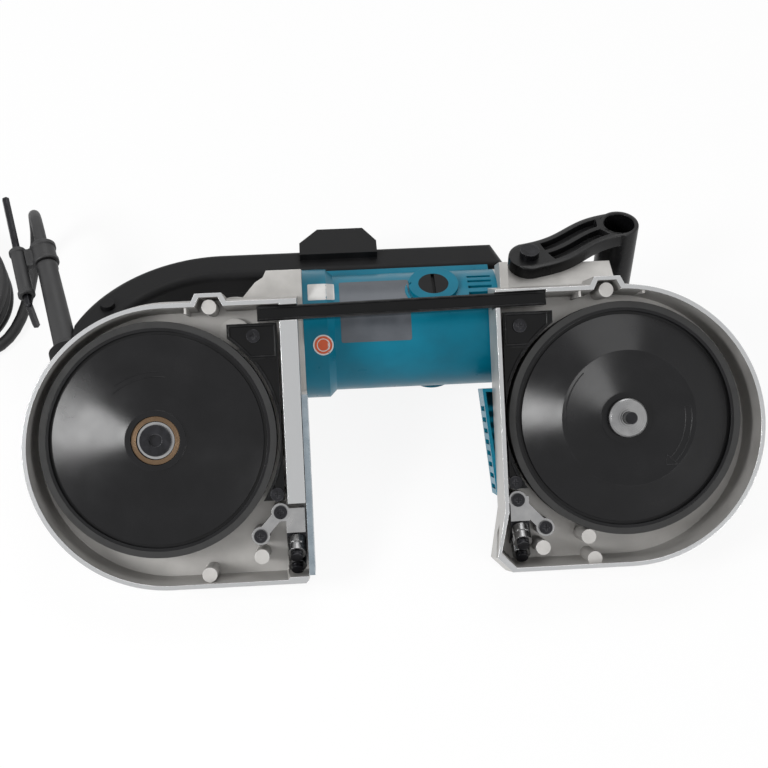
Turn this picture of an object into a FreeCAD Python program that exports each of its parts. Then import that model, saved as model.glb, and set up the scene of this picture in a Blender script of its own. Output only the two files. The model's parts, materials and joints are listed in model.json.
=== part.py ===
import FreeCAD, Part
import math
import os
from FreeCAD import Vector

# A corded portable band saw with the blade taken off, lying on its back with the wheels up.
# Tool frame: x along the saw, y from the cut towards the motor, z out of the wheel side.
# Zero is at the frame rim, midway between the wheels.
# Cut frame: the tool frame turned about x, so that its second axis points up when the saw is in use.
# The last function lays the whole saw down on the table.

# Clearances
FIT = 0.05
RUN = 0.06
GAP = 0.4
LOOSE = 1.2
OVERRUN = 6.0

# Blade loop and wheels
WHEEL_SPAN = 318.7
WHEEL_DIAMETER = 160.0
WHEEL_RISE = 25.0
TYRE_WIDTH = 16.0
TYRE_THICKNESS = 4.5
LIP_WIDTH = 2.0
GROOVE_WIDTH = 2.2
GROOVE_DEPTH = 4.0
RIM_STEP = 1.5
EDGE_DROP = 1.0
WEB_THICKNESS = 7.0
HUB_RADIUS = 20.3
HUB_RISE = 23.0
HUB_STEP = 1.4
HUB_DROP = 12.0
RECESS_RADIUS = 16.5
RECESS_DEPTH = 6.5
WASHER_BORE = 12.9
WASHER_THICKNESS = 5.0
SPINDLE_RADIUS = 10.0
FLANGE_RADIUS = 12.5
FLANGE_THICKNESS = 3.0
CAP_RADIUS = 10.6
CAP_THICKNESS = 3.2
SOCKET_RADIUS = 4.3
SOCKET_DEPTH = 2.4
CREST_RADIUS = 46.0
CREST_RISE = 21.0
DISH_RADIUS = 17.5
DISH_RISE = 13.0
IDLER_HUB_RADIUS = 19.0
IDLER_HUB_DROP = 10.0
AXLE_RADIUS = 8.0
STUD_RADIUS = 4.2
STUD_LENGTH = 14.0
COLLAR_RADIUS = 13.3
COLLAR_THICKNESS = 6.0
COLLAR_BEVEL = 1.2

# Cast frame pans
FRAME_DEPTH = 40.0
FLOOR_THICKNESS = 4.0
WALL_THICKNESS = 2.6
OUTER_DRAFT = 4.0
POCKET_DRAFT = 2.0
WALL_CLEAR_ABOVE = 11.0
WALL_CLEAR_BELOW = 21.0
REAR_END_CLEAR = 10.0
FRONT_END_CLEAR = 15.0
REAR_THROAT_CLEAR = 17.5
FRONT_THROAT_CLEAR = 6.5
REAR_CORNER = 2.0
FRONT_CORNER = 10.0
FRONT_FLARE = 6.5
FLARE_LEVEL = 60.0
REAR_LEDGE = 9.0
BUMP_FOOT = 12.0
BUMP_CREST = 9.0
BUMP_HEIGHT = 6.0
BOSS_RADIUS = 5.0
BOSS_DROP = 5.0
RIB_THICKNESS = 1.6
RIB_DEPTH = 4.0
POST_RADIUS = 6.0
BEARING_BOSS_RADIUS = 21.0

# Places in a pan, as shares of the wheel radius: towards the throat, and up from the wheel axis
rear_bump_share = 0.48
front_bump_share = 0.12
rear_boss_shares = ((0.385, -1.16), (0.83, -1.03))
front_boss_shares = ((0.32, -1.19), (0.365, -1.0), (0.76, -1.075))
rear_rib_shares = ((0.28, 1.13), (-0.6, 0.99))
front_rib_shares = ((0.35, 1.13), (-0.2, 1.14))
rear_guard_post_share = (0.842, 0.838)
front_guard_post_share = (0.88, 0.825)
rear_guard_foot_share = 0.984
front_guard_foot_share = 0.974

# Posts of the guides: back from the guide, and up from the lower end of the wheel
REAR_POST_BACK = 10.0
REAR_POST_RISE = 26.56
REAR_FOOT_BACK = 24.08
REAR_FOOT_RISE = 11.0
FRONT_POST_AHEAD = 1.2
FRONT_POST_RISE = 26.88
FRONT_FOOT_BACK = 17.04
FRONT_FOOT_RISE = 7.12
GUARD_FOOT_RISE = 39.2

# Blade guides
GUIDE_RISE = 26.0
BRACKET_THICKNESS = 2.5
BRACKET_LOBE = 6.2
BRACKET_REACH = 12.2
REAR_GUIDE_CLEAR = 10.0
FRONT_GUIDE_CLEAR = -5.2
ROLLER_RADIUS = 6.2
ROLLER_LENGTH = 12.0
ROLLER_LEAD = 8.5
ROLLER_GROOVE = 1.0
ROLLER_GROOVE_DEPTH = 0.6
BLADE_SLIT = 1.0
PIN_RADIUS = 2.5
PIN_HEAD_RADIUS = 4.2
PIN_HEAD_THICKNESS = 3.0
HOLDER_WIDTH = 13.0
HOLDER_HEIGHT = 22.0
HOLDER_LENGTH = 11.0
HOLDER_HOLE_DEPTH = 9.0
GUIDE_WINDOW_RISE = 33.0
SLOT_HEIGHT = 8.0
SLOT_LENGTH = 20.0

# Screws of the guides, the guards and the housings
SCREW_RADIUS = 2.5
SCREW_LENGTH = 14.0
HEAD_RADIUS = 4.6
HEAD_THICKNESS = 2.6
CROSS_WIDTH = 1.1
CROSS_LENGTH = 4.6
CROSS_DEPTH = 1.4

# Guards beside the wheels and the cover over the returning blade
GUARD_LEVEL = 7.0
GUARD_THICKNESS = 3.0
GUARD_WHEEL_CLEAR = 2.5
GUARD_SKIRT = 2.4
GUARD_WIDTH = 34.0
GUARD_TOP_CLEAR = 4.4
GUARD_BOTTOM_CLEAR = 35.0
TAB_HEIGHT = 24.0
TAB_THICKNESS = 2.4
COVER_HEIGHT = 10.0
COVER_WALL = 2.0
COVER_LEVEL = 4.0
COVER_DEPTH = 22.0
COVER_OFFSET = 3.0
COVER_TILT = 0.8
COVER_REAR_REACH = 27.0
COVER_FRONT_REACH = 35.0

# Stop plate on the throat side of the rear frame
STOP_THICKNESS = 4.0
STOP_TOP = 26.0
STOP_BOTTOM = 96.0
STOP_LEVEL = 2.0
STOP_DEPTH = 36.0
STOP_TRAVEL = 20.0
STOP_BOLT_RADIUS = 3.0
STOP_HEAD_RADIUS = 5.5
STOP_HEAD_THICKNESS = 1.6
STOP_BOLT_DEPTH = 19.0
stop_bolt_shares = (0.2, 0.5)

# Motor
CUT_ANGLE = 45.0
MOTOR_RISE = 70.0
MOTOR_RADIUS = 42.0
MOTOR_CLEAR = 4.0
MOTOR_WALL = 3.0
MOTOR_REAR_STEP = 3.5
MOTOR_FRONT_STEP = 9.0
MOTOR_FLANGE_RADIUS = 47.0
MOTOR_FLANGE_LENGTH = 17.0
MOTOR_FLANGE_CHAMFER = 5.0
SADDLE_RISE = 7.4
SADDLE_HALF = 18.5
BRUSH_PLACE = 46.0
BRUSH_BOSS_RADIUS = 18.0
BRUSH_BOSS_RISE = 2.0
BRUSH_CAP_RADIUS = 10.8
BRUSH_CAP_THICKNESS = 6.0
BRUSH_SLOT = 2.4
BRUSH_WIDTH = 8.0
VENT_COUNT = 4
VENT_LENGTH = 17.0
VENT_HEIGHT = 2.4
VENT_PITCH = 6.0
VENT_END = 4.0
SHAFT_RADIUS = 5.0
CORE_RADIUS = 21.0
CORE_CLEAR = 6.2
CORE_PLACE = 24.0
FIELD_BORE = 22.0
COIL_LENGTH = 8.0
COIL_RADIUS = 35.0
COMMUTATOR_RADIUS = 13.0
COMMUTATOR_LENGTH = 18.0
FAN_RADIUS = 36.0
FAN_LENGTH = 10.0
FAN_PLACE = 4.0
FAN_PLATE = 2.5
FAN_BLADES = 9
FAN_BLADE_THICKNESS = 1.8
FAN_HUB_RADIUS = 12.0
BEARING_RADIUS = 12.0
BEARING_LENGTH = 8.0

# Gear train
TOOTH_ADDENDUM_SHARE = 0.85
TOOTH_DEDENDUM_SHARE = 1.3
TOOTH_ROOT_SHARE = 0.255
TOOTH_TIP_SHARE = 0.105
FACE_TOOTH_SHARE = 0.3
FIRST_MODULE = 1.0
FIRST_PINION_TEETH = 9
FACE_TEETH = 36
FACE_WIDTH = 5.0
FACE_DISC = 8.0
second_module_share = 0.017026
SECOND_PINION_TEETH = 10
SECOND_TEETH = 44
SECOND_WIDTH = 8.0
third_module_share = 0.022701
THIRD_PINION_TEETH = 10
THIRD_TEETH = 42
THIRD_WIDTH = 12.0
GEAR_STEP = 3.0
PINION_EXTRA = 1.0
GEAR_SHAFT_RADIUS = 4.5
BUSH_RADIUS = 7.0
BUSH_LENGTH = 6.0
FACE_AXIS_PLACE = 44.0
GEAR_WALL = 4.0
GEAR_AIR = 2.0
END_LENGTH = 24.7
SPINDLE_BEARING_RADIUS = 17.0
LOWER_BEARING_RADIUS = 13.0
SPINDLE_BEARING_LENGTH = 8.0

# Steps of the gear housing beside the motor, as shares of the motor radius:
# back from the motor, and up from its side
block_step_shares = ((0.0, 0.048), (0.587, 0.048), (0.644, -0.064), (0.777, -0.143), (0.992, -0.386),
                     (1.131, -0.55))

# End bell and cover behind the front frame
BELL_RADIUS = 31.0
BELL_LENGTH = 46.0
BELL_FLANGE = 6.0
BELL_WALL = 5.0
BELL_BLOCK_LENGTH = 84.0
BELL_BLOCK_LOW = 56.0
BELL_BLOCK_HIGH = 113.0
BELL_BLOCK_DEPTH = 26.0
COVER_SHELL = 2.4
COVER_LENGTH = 46.0
COVER_TOP = 24.0
COVER_BOTTOM = 52.0
COVER_BACK = 28.0
COVER_SLANT = 7.0
COVER_SLOTS = 8
COVER_SLOT_HEIGHT = 3.4
COVER_SLOT_PITCH = 8.0
COVER_SLOT_DEPTH = 20.0

# Blade tension
TENSION_TRAVEL = 8.0
SLIDE_LENGTH = 64.0
SLIDE_WIDTH = 40.0
SLIDE_THICKNESS = 6.0
RAIL_WIDTH = 6.0
RAIL_DEPTH = 9.0
LUG_LENGTH = 8.0
LUG_WIDTH = 16.0
LUG_DEPTH = 9.0
CAM_RADIUS = 11.0
CAM_THROW = 4.0
LEVER_LENGTH = 50.0
LEVER_WIDTH = 14.0
LEVER_THICKNESS = 7.0
PIVOT_RADIUS = 4.0
SPRING_RADIUS = 6.5
SPRING_BORE = 4.6
SPRING_LENGTH = 26.0

# Main handle
HANDLE_HALF = 18.0
HANDLE_WALL = 3.0
HANDLE_BAR = 27.3
HANDLE_REACH = 74.35
GRIP_ARC = 115.0
BAR_FRONT_CUT = 9.0
BAR_FRONT_REACH = 15.2
HANDLE_ROUND = 6.0
HANDLE_SCREW_LENGTH = 28.0
HANDLE_SCREW_RISE = 4.5
HANDLE_SCREW_INSET = 7.8
HANDLE_SCREW_AFT = 24.0
HANDLE_SCREW_REAR = 26.0
HANDLE_SCREW_FRONT = 24.0
HUMP_RISE = 16.0
HUMP_NEAR = 24.0
HUMP_FAR = 33.0
HUMP_START = 98.0
HUMP_LENGTH = 59.0
HUMP_REAR_SLOPE = 14.0
HUMP_FRONT_SLOPE = 10.0
TRIGGER_LENGTH = 30.0
TRIGGER_HALF = 6.5
TRIGGER_REACH = 14.0
TRIGGER_TAIL = 7.0
TRIGGER_DROP = 46.0
TRIGGER_NOSE = 5.0
TRIGGER_SWING = 5.2
TRIGGER_PIN_RADIUS = 2.0
TRIGGER_PIN_LENGTH = 2.5
TRIGGER_PIN_DROP = 3.2
SWITCH_THICKNESS = 18.0
SWITCH_LENGTH = 28.0
SWITCH_ANGLE = 115.0
BUTTON_ANGLE = 145.0
BUTTON_RADIUS = 5.0
BUTTON_RISE = 3.6
BUTTON_TAIL = 8.0
DIAL_RADIUS = 11.0
DIAL_THICKNESS = 6.0
DIAL_RISE = 2.5
DIAL_PLACE = 30.0
DIAL_NOTCHES = 12
DIAL_NOTCH_RADIUS = 1.2

# Front grip
GRIP_PLACE = 18.7
GRIP_RISE = 46.7
GRIP_RADIUS = 14.7
GRIP_BORE = 11.3
GRIP_BORE_DEPTH = 60.0
GRIP_NEAR = 43.6
GRIP_FAR = 51.5
ARM_THICKNESS = 9.6
FAR_ARM_THICKNESS = 8.5
ARM_BOLT_PLACE = 33.4
ARM_BOLT_RISE = 13.7
ARM_END_RADIUS = 15.0
ARM_POCKET_DEPTH = 5.0
ARM_POCKET_HALF = 4.0
ARM_POCKET_OFFSET = 6.2
arm_pocket_start_share = 0.34
arm_pocket_end_share = 0.74
ARM_BOLT_RADIUS = 4.0
ARM_HEAD_RADIUS = 7.0
ARM_HEAD_THICKNESS = 5.0
ARM_BOLT_LENGTH = 24.0

# Cord, key and plug
CORD_DIAMETER = 9.0
GUARD_LENGTH = 81.4
GUARD_BASE_RADIUS = 8.4
GUARD_TIP_RADIUS = 7.6
GUARD_COLLAR_RADIUS = 9.6
GUARD_COLLAR_LENGTH = 5.0
OUTLET_RADIUS = 13.0
OUTLET_LENGTH = 40.0
OUTLET_PLACE = 14.35
OUTLET_RISE = 56.0
LEAD_SLOPE = 0.255
CORD_GAP = 0.6
COIL_X = -356.8
COIL_Y = 122.0
COIL_REACH = 61.8
COIL_PITCH = 9.8
COIL_START = -65.0
COIL_TRAVEL = 2275.0
COIL_SHIFT = 60.0
COIL_STEP = 15.0
# Moves of the winding from loop to loop: degrees wound before each, and whole steps out and up
coil_moves = ((300.0, -1, 0), (660.0, -1, 0), (960.0, 0, 1), (1260.0, 1, 0), (1620.0, 1, 0), (1920.0, 0, 1))
TAIL_LENGTH = 52.0
LEAD_START = 6.0
LEAD_BEND = 62.0
LEAD_END = 148.0
LEAD_SAG = 0.9
FOLD_ASIDE = 7.0
FOLD_BACK = 0.5
JOIN_RUN = 46.0
COIL_LEAD = 6.0
corner_share = 0.45
HOLDER_PLACE = 91.0
CORD_SLEEVE_RADIUS = 9.8
CORD_SLEEVE_LENGTH = 18.0
KEY_OFFSET = 19.0
KEY_SLEEVE_RADIUS = 6.4
KEY_SLEEVE_LENGTH = 44.0
KEY_SLEEVE_DROP = 12.0
KEY_FLATS = 5.0
KEY_LENGTH = 105.0
KEY_TAIL = 8.0
KEY_SHORT = 26.0
HOLDER_WEB = 6.0
PLUG_RADIUS = 14.0
PLUG_LENGTH = 34.0
PLUG_NECK_RADIUS = 7.0
PLUG_NECK_LENGTH = 22.0
PLUG_PIN_RADIUS = 2.4
PLUG_PIN_LENGTH = 19.0
PLUG_PIN_SPREAD = 9.5

FULL_TURN = 360.0
HALF_TURN = 180.0

os.makedirs("parts", exist_ok=True)

# Sizes worked out from the ones above
wheel_radius = WHEEL_DIAMETER / 2
half_span = WHEEL_SPAN / 2
wall_above = wheel_radius + WALL_CLEAR_ABOVE
wall_below = wheel_radius + WALL_CLEAR_BELOW
end_radius = (wall_above + wall_below) / 2
end_level = (wall_above - wall_below) / 2
rear_throat = wheel_radius + REAR_THROAT_CLEAR
front_throat = wheel_radius + FRONT_THROAT_CLEAR
rear_throat_x = rear_throat - half_span
front_throat_x = half_span - front_throat
floor_level = FLOOR_THICKNESS - FRAME_DEPTH
wheel_depth = FRAME_DEPTH - WHEEL_RISE
turn = math.radians(CUT_ANGLE)
motor_depth = FRAME_DEPTH + MOTOR_CLEAR + MOTOR_RADIUS
motor_v = MOTOR_RISE * math.cos(turn) + motor_depth * math.sin(turn)
motor_w = MOTOR_RISE * math.sin(turn) - motor_depth * math.cos(turn)
motor_rear = rear_throat_x + MOTOR_REAR_STEP
motor_front = front_throat_x + MOTOR_FRONT_STEP
saddle_v = motor_v + MOTOR_RADIUS + SADDLE_RISE
bar_top_v = saddle_v + HANDLE_BAR
bar_middle_v = saddle_v + HANDLE_BAR / 2
hump_top_v = bar_top_v + HUMP_RISE
hump_far_w = motor_w - HUMP_FAR
blade_v = wheel_depth * math.sin(turn) - wheel_radius * math.cos(turn)
blade_w = -wheel_radius * math.sin(turn) - wheel_depth * math.cos(turn)
guard_top = wheel_radius - GUARD_TOP_CLEAR
guard_bottom = wheel_radius - GUARD_BOTTOM_CLEAR
guide_window_top = wheel_radius - GUIDE_WINDOW_RISE
roller_offset = ROLLER_RADIUS + BLADE_SLIT / 2
bracket_level = GUIDE_RISE - FRAME_DEPTH
X_AXIS = Vector(1, 0, 0)
Z_AXIS = Vector(0, 0, 1)


def from_cut(x, v, w):
    """A point of the cut frame, in the tool frame."""
    y = v * math.cos(turn) + w * math.sin(turn)
    z = w * math.cos(turn) - v * math.sin(turn)
    return Vector(x, y, z)


def turned(shape):
    """A shape of the cut frame, in the tool frame."""
    copy = shape.copy()
    copy.rotate(Vector(), X_AXIS, -CUT_ANGLE)
    return copy


def at(side, inward):
    """Place along x that lies so far from a wheel axis towards the throat."""
    return side * (half_span - inward)


def spot(side, shares):
    """A place in a pan from its two shares of the wheel radius."""
    return at(side, shares[0] * wheel_radius), shares[1] * wheel_radius


def box(x, y, z):
    """A box between the two values of each pair."""
    corner = Vector(min(x), min(y), min(z))
    return Part.makeBox(max(x) - min(x), max(y) - min(y), max(z) - min(z), corner)


def rod(radius, start, end):
    """A round rod between two points."""
    along = end - start
    return Part.makeCylinder(radius, along.Length, start, along)


def tube(outer, inner, start, end):
    """A round tube between two points."""
    return rod(outer, start, end).cut(rod(inner, start, end))


def post(radius, x, y, low, high):
    """A rod that stands along z."""
    return rod(radius, Vector(x, y, low), Vector(x, y, high))


def along_x(radius, start, end):
    """A rod on the motor axis."""
    return rod(radius, Vector(start, MOTOR_RISE, -motor_depth), Vector(end, MOTOR_RISE, -motor_depth))


def ring_x(outer, inner, start, end):
    """A tube on the motor axis."""
    return along_x(outer, start, end).cut(along_x(inner, start - OVERRUN, end + OVERRUN))


def prism(points, low, high):
    """A straight sided block over a closed run of points."""
    corners = [Vector(x, y, low) for x, y in points]
    face = Part.Face(Part.makePolygon(corners + corners[:1]))
    return face.extrude(Vector(0, 0, high - low))


def lathe(profile, x, y, z):
    """A turned piece about an upright axis; the profile holds radii and heights."""
    corners = [Vector(radius, 0, height) for radius, height in profile]
    face = Part.Face(Part.makePolygon(corners + corners[:1]))
    solid = face.revolve(Vector(), Z_AXIS, FULL_TURN)
    solid.translate(Vector(x, y, z))
    return solid


def fuse(first, *others):
    """One solid from several that touch."""
    return first.multiFuse(list(others)).removeSplitter()


def group(solids):
    """Separate solids that share one node."""
    return Part.makeCompound(solids)


# Wheels


def wheel_rim(drop):
    """Profile points of the tyre seat, the lip and the groove, from the back to the near face."""
    half = TYRE_WIDTH / 2
    seat = wheel_radius - TYRE_THICKNESS
    lip = seat - LIP_WIDTH
    groove = lip - GROOVE_WIDTH
    inner = groove - RIM_STEP
    edge = half - EDGE_DROP
    back = [(inner, edge - drop), (inner, -half), (seat, -half), (seat, half), (lip, half)]
    return back + [(lip, half - GROOVE_DEPTH), (groove, half - GROOVE_DEPTH), (groove, edge)]


def drive_wheel():
    bore = SPINDLE_RADIUS + FIT
    cone = HUB_RISE - HUB_STEP
    seat = HUB_RISE - RECESS_DEPTH
    profile = [(bore, -HUB_DROP), (HUB_RADIUS, -HUB_DROP), (HUB_RADIUS, cone - WEB_THICKNESS)]
    profile += wheel_rim(WEB_THICKNESS)
    profile += [(HUB_RADIUS, cone), (HUB_RADIUS, HUB_RISE), (RECESS_RADIUS, HUB_RISE)]
    profile += [(RECESS_RADIUS, seat), (bore, seat)]
    return lathe(profile, -half_span, 0, -wheel_depth)


def idler_wheel():
    bore = COLLAR_RADIUS
    profile = [(bore, -IDLER_HUB_DROP), (IDLER_HUB_RADIUS, -IDLER_HUB_DROP)]
    profile += [(IDLER_HUB_RADIUS, DISH_RISE - WEB_THICKNESS), (CREST_RADIUS, CREST_RISE - WEB_THICKNESS)]
    profile += wheel_rim(WEB_THICKNESS)
    profile += [(CREST_RADIUS, CREST_RISE), (DISH_RADIUS, DISH_RISE), (bore, DISH_RISE)]
    return lathe(profile, half_span, 0, -wheel_depth)


def tyre(side):
    half = TYRE_WIDTH / 2
    inner = wheel_radius - TYRE_THICKNESS + FIT
    profile = [(inner, -half), (wheel_radius, -half), (wheel_radius, half), (inner, half)]
    return lathe(profile, at(side, 0), 0, -wheel_depth)


def hub_washer():
    seat = HUB_RISE - RECESS_DEPTH - wheel_depth
    outer = post(RECESS_RADIUS - GAP, -half_span, 0, seat, seat + WASHER_THICKNESS)
    return outer.cut(post(WASHER_BORE, -half_span, 0, seat - OVERRUN, seat + OVERRUN + WASHER_THICKNESS))


def hub_cap():
    low = HUB_RISE - RECESS_DEPTH - wheel_depth + FLANGE_THICKNESS
    high = low + CAP_THICKNESS
    cap = post(CAP_RADIUS, -half_span, 0, low, high)
    return cap.cut(post(SOCKET_RADIUS, -half_span, 0, high - SOCKET_DEPTH, high + OVERRUN))


def idler_collar():
    low = DISH_RISE + GAP - wheel_depth
    bore = STUD_RADIUS + FIT
    bevel = COLLAR_RADIUS - COLLAR_BEVEL
    shoulder = COLLAR_THICKNESS - COLLAR_BEVEL
    profile = [(bore, 0), (COLLAR_RADIUS, 0), (COLLAR_RADIUS, shoulder)]
    profile += [(bevel, COLLAR_THICKNESS), (bore, COLLAR_THICKNESS)]
    return lathe(profile, half_span, 0, low)


def idler_bearings():
    rings = []
    low = -IDLER_HUB_DROP - wheel_depth
    for base in (low, low + BEARING_LENGTH + LOOSE):
        outer = post(COLLAR_RADIUS - FIT, half_span, 0, base, base + BEARING_LENGTH)
        rings.append(outer.cut(post(AXLE_RADIUS + RUN, half_span, 0, base, base + BEARING_LENGTH)))
    return group(rings)


# Gears


def toothed(teeth, module, width, phase):
    """A toothed wheel at the origin, one tooth pointing at the phase angle."""
    radius = module * teeth / 2
    tip = radius + TOOTH_ADDENDUM_SHARE * module
    root = radius - TOOTH_DEDENDUM_SHARE * module
    step = 2 * math.pi / teeth
    corners = [(root, -TOOTH_ROOT_SHARE), (tip, -TOOTH_TIP_SHARE)]
    corners += [(tip, TOOTH_TIP_SHARE), (root, TOOTH_ROOT_SHARE)]
    points = []
    for index in range(teeth):
        for reach, share in corners:
            angle = phase + (index + share) * step
            points.append((reach * math.cos(angle), reach * math.sin(angle)))
    return prism(points, 0, width)


def bearing_angle(start, end):
    """Direction from one axis to another, in the wheel plane."""
    return math.atan2(end[1] - start[1], end[0] - start[0])


def third_axis(start, start_reach, end, end_reach):
    """The axis that lies at the two given reaches from two others."""
    span = math.hypot(end[0] - start[0], end[1] - start[1])
    along = (span ** 2 + start_reach ** 2 - end_reach ** 2) / (2 * span)
    aside = math.sqrt(start_reach ** 2 - along ** 2)
    angle = bearing_angle(start, end)
    x = start[0] + along * math.cos(angle) + aside * math.sin(angle)
    return x, start[1] + along * math.sin(angle) - aside * math.cos(angle)


axis_a = (rear_throat_x - FACE_AXIS_PLACE, MOTOR_RISE)
axis_c = (-half_span, 0.0)
gear_span = math.hypot(axis_a[0] - axis_c[0], axis_a[1] - axis_c[1])
second_module = second_module_share * gear_span
third_module = third_module_share * gear_span
first_radius = FIRST_MODULE * FIRST_PINION_TEETH / 2
face_radius = FIRST_MODULE * FACE_TEETH / 2
second_reach = second_module * (SECOND_PINION_TEETH + SECOND_TEETH) / 2
third_reach = third_module * (THIRD_PINION_TEETH + THIRD_TEETH) / 2
axis_b = third_axis(axis_a, second_reach, axis_c, third_reach)
third_high = -FRAME_DEPTH - GEAR_STEP
third_low = third_high - THIRD_WIDTH
second_high = third_low - GEAR_STEP
second_low = second_high - SECOND_WIDTH
face_tip = first_radius - motor_depth - TOOTH_ADDENDUM_SHARE * FIRST_MODULE
face_root = first_radius - motor_depth + TOOTH_DEDENDUM_SHARE * FIRST_MODULE
gear_c_bottom = second_low - GEAR_AIR
gear_a_bottom = -motor_depth - first_radius - GEAR_AIR
second_outer = second_module * (SECOND_TEETH / 2 + 1)
third_outer = third_module * (THIRD_TEETH / 2 + 1)
face_outer = face_radius + FACE_WIDTH / 2


def first_gear():
    """Face gear, its pinion and their shaft."""
    x, y = axis_a
    disc = post(face_outer, x, y, face_root, face_root + FACE_DISC)
    inner = face_radius - FACE_WIDTH / 2
    step = 2 * math.pi / FACE_TEETH
    half = FACE_TOOTH_SHARE * FIRST_MODULE * math.pi / 2
    ribs = []
    for index in range(FACE_TEETH):
        rib = box((inner, face_outer), (-half, half), (face_tip, face_root + FIT))
        rib.rotate(Vector(), Z_AXIS, math.degrees(index * step))
        rib.translate(Vector(x, y, 0))
        ribs.append(rib)
    angle = bearing_angle(axis_a, axis_b)
    pinion = toothed(SECOND_PINION_TEETH, second_module, SECOND_WIDTH + 2 * PINION_EXTRA, angle)
    pinion.translate(Vector(x, y, second_low - PINION_EXTRA))
    shaft = post(GEAR_SHAFT_RADIUS, x, y, gear_a_bottom + GAP, floor_level)
    return fuse(disc, pinion, shaft, *ribs)


def second_gear():
    """Second wheel, its pinion and their shaft."""
    x, y = axis_b
    mesh = bearing_angle(axis_b, axis_a)
    wheel = toothed(SECOND_TEETH, second_module, SECOND_WIDTH, mesh + math.pi / SECOND_TEETH)
    wheel.translate(Vector(x, y, second_low))
    lead_angle = bearing_angle(axis_b, axis_c)
    pinion = toothed(THIRD_PINION_TEETH, third_module, third_high - second_high, lead_angle)
    pinion.translate(Vector(x, y, second_high))
    shaft = post(GEAR_SHAFT_RADIUS, x, y, gear_c_bottom - BUSH_LENGTH + GAP, floor_level)
    return fuse(wheel, pinion, shaft)


def drive_gear():
    x, y = axis_c
    mesh = bearing_angle(axis_c, axis_b)
    wheel = toothed(THIRD_TEETH, third_module, THIRD_WIDTH, mesh + math.pi / THIRD_TEETH)
    wheel.translate(Vector(x, y, third_low))
    return wheel.cut(post(SPINDLE_RADIUS + FIT, x, y, third_low - OVERRUN, third_high + OVERRUN))


def spindle():
    x, y = axis_c
    seat = HUB_RISE - RECESS_DEPTH - wheel_depth
    low = gear_c_bottom + GAP
    flange = post(FLANGE_RADIUS, x, y, seat, seat + FLANGE_THICKNESS)
    return fuse(post(SPINDLE_RADIUS, x, y, low, seat), flange)


def gear_bushes():
    """Four plain bushes of the first and second gear shafts."""
    rings = []
    places = ((axis_a, floor_level), (axis_b, floor_level))
    places += ((axis_a, gear_a_bottom + BUSH_LENGTH), (axis_b, gear_c_bottom))
    for axis, high in places:
        outer = post(BUSH_RADIUS - FIT, axis[0], axis[1], high - BUSH_LENGTH, high)
        rings.append(outer.cut(post(GEAR_SHAFT_RADIUS + RUN, axis[0], axis[1], high - BUSH_LENGTH, high)))
    return rings


def shaft_bearings():
    """Ball bearings of the spindle and the armature, with the bushes of the gear shafts."""
    x, y = axis_c
    upper = floor_level + BUSH_LENGTH
    lower = gear_c_bottom + SPINDLE_BEARING_LENGTH
    rings = gear_bushes()
    for radius, high in ((SPINDLE_BEARING_RADIUS, upper), (LOWER_BEARING_RADIUS, lower)):
        low = high - SPINDLE_BEARING_LENGTH
        rings.append(post(radius - FIT, x, y, low, high).cut(post(SPINDLE_RADIUS + RUN, x, y, low, high)))
    for start in (motor_rear - BEARING_LENGTH, motor_front + BELL_FLANGE):
        rings.append(ring_x(BEARING_RADIUS - FIT, SHAFT_RADIUS + RUN, start, start + BEARING_LENGTH))
    return group(rings)


def gear_space(grow):
    """The room of the gear train, or its casing when grown."""
    deep = gear_c_bottom - grow
    deeper = gear_a_bottom - grow
    top = -FRAME_DEPTH
    room = post(third_outer + GEAR_AIR + grow, axis_c[0], axis_c[1], deep, top)
    room = room.fuse(post(second_outer + GEAR_AIR + grow, axis_b[0], axis_b[1], deep, top))
    room = room.fuse(post(face_outer + GEAR_AIR + grow, axis_a[0], axis_a[1], deeper, top))
    return room


def stepped_block():
    """Block between the motor end and the frame, with a stepped upper corner."""
    points = [(axis_a[0], MOTOR_RISE - MOTOR_RADIUS), (motor_rear, MOTOR_RISE - MOTOR_RADIUS)]
    for back, up in block_step_shares:
        points.append((motor_rear - back * MOTOR_RADIUS, MOTOR_RISE + MOTOR_RADIUS + up * MOTOR_RADIUS))
    return prism(points, -motor_depth, -FRAME_DEPTH)


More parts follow.
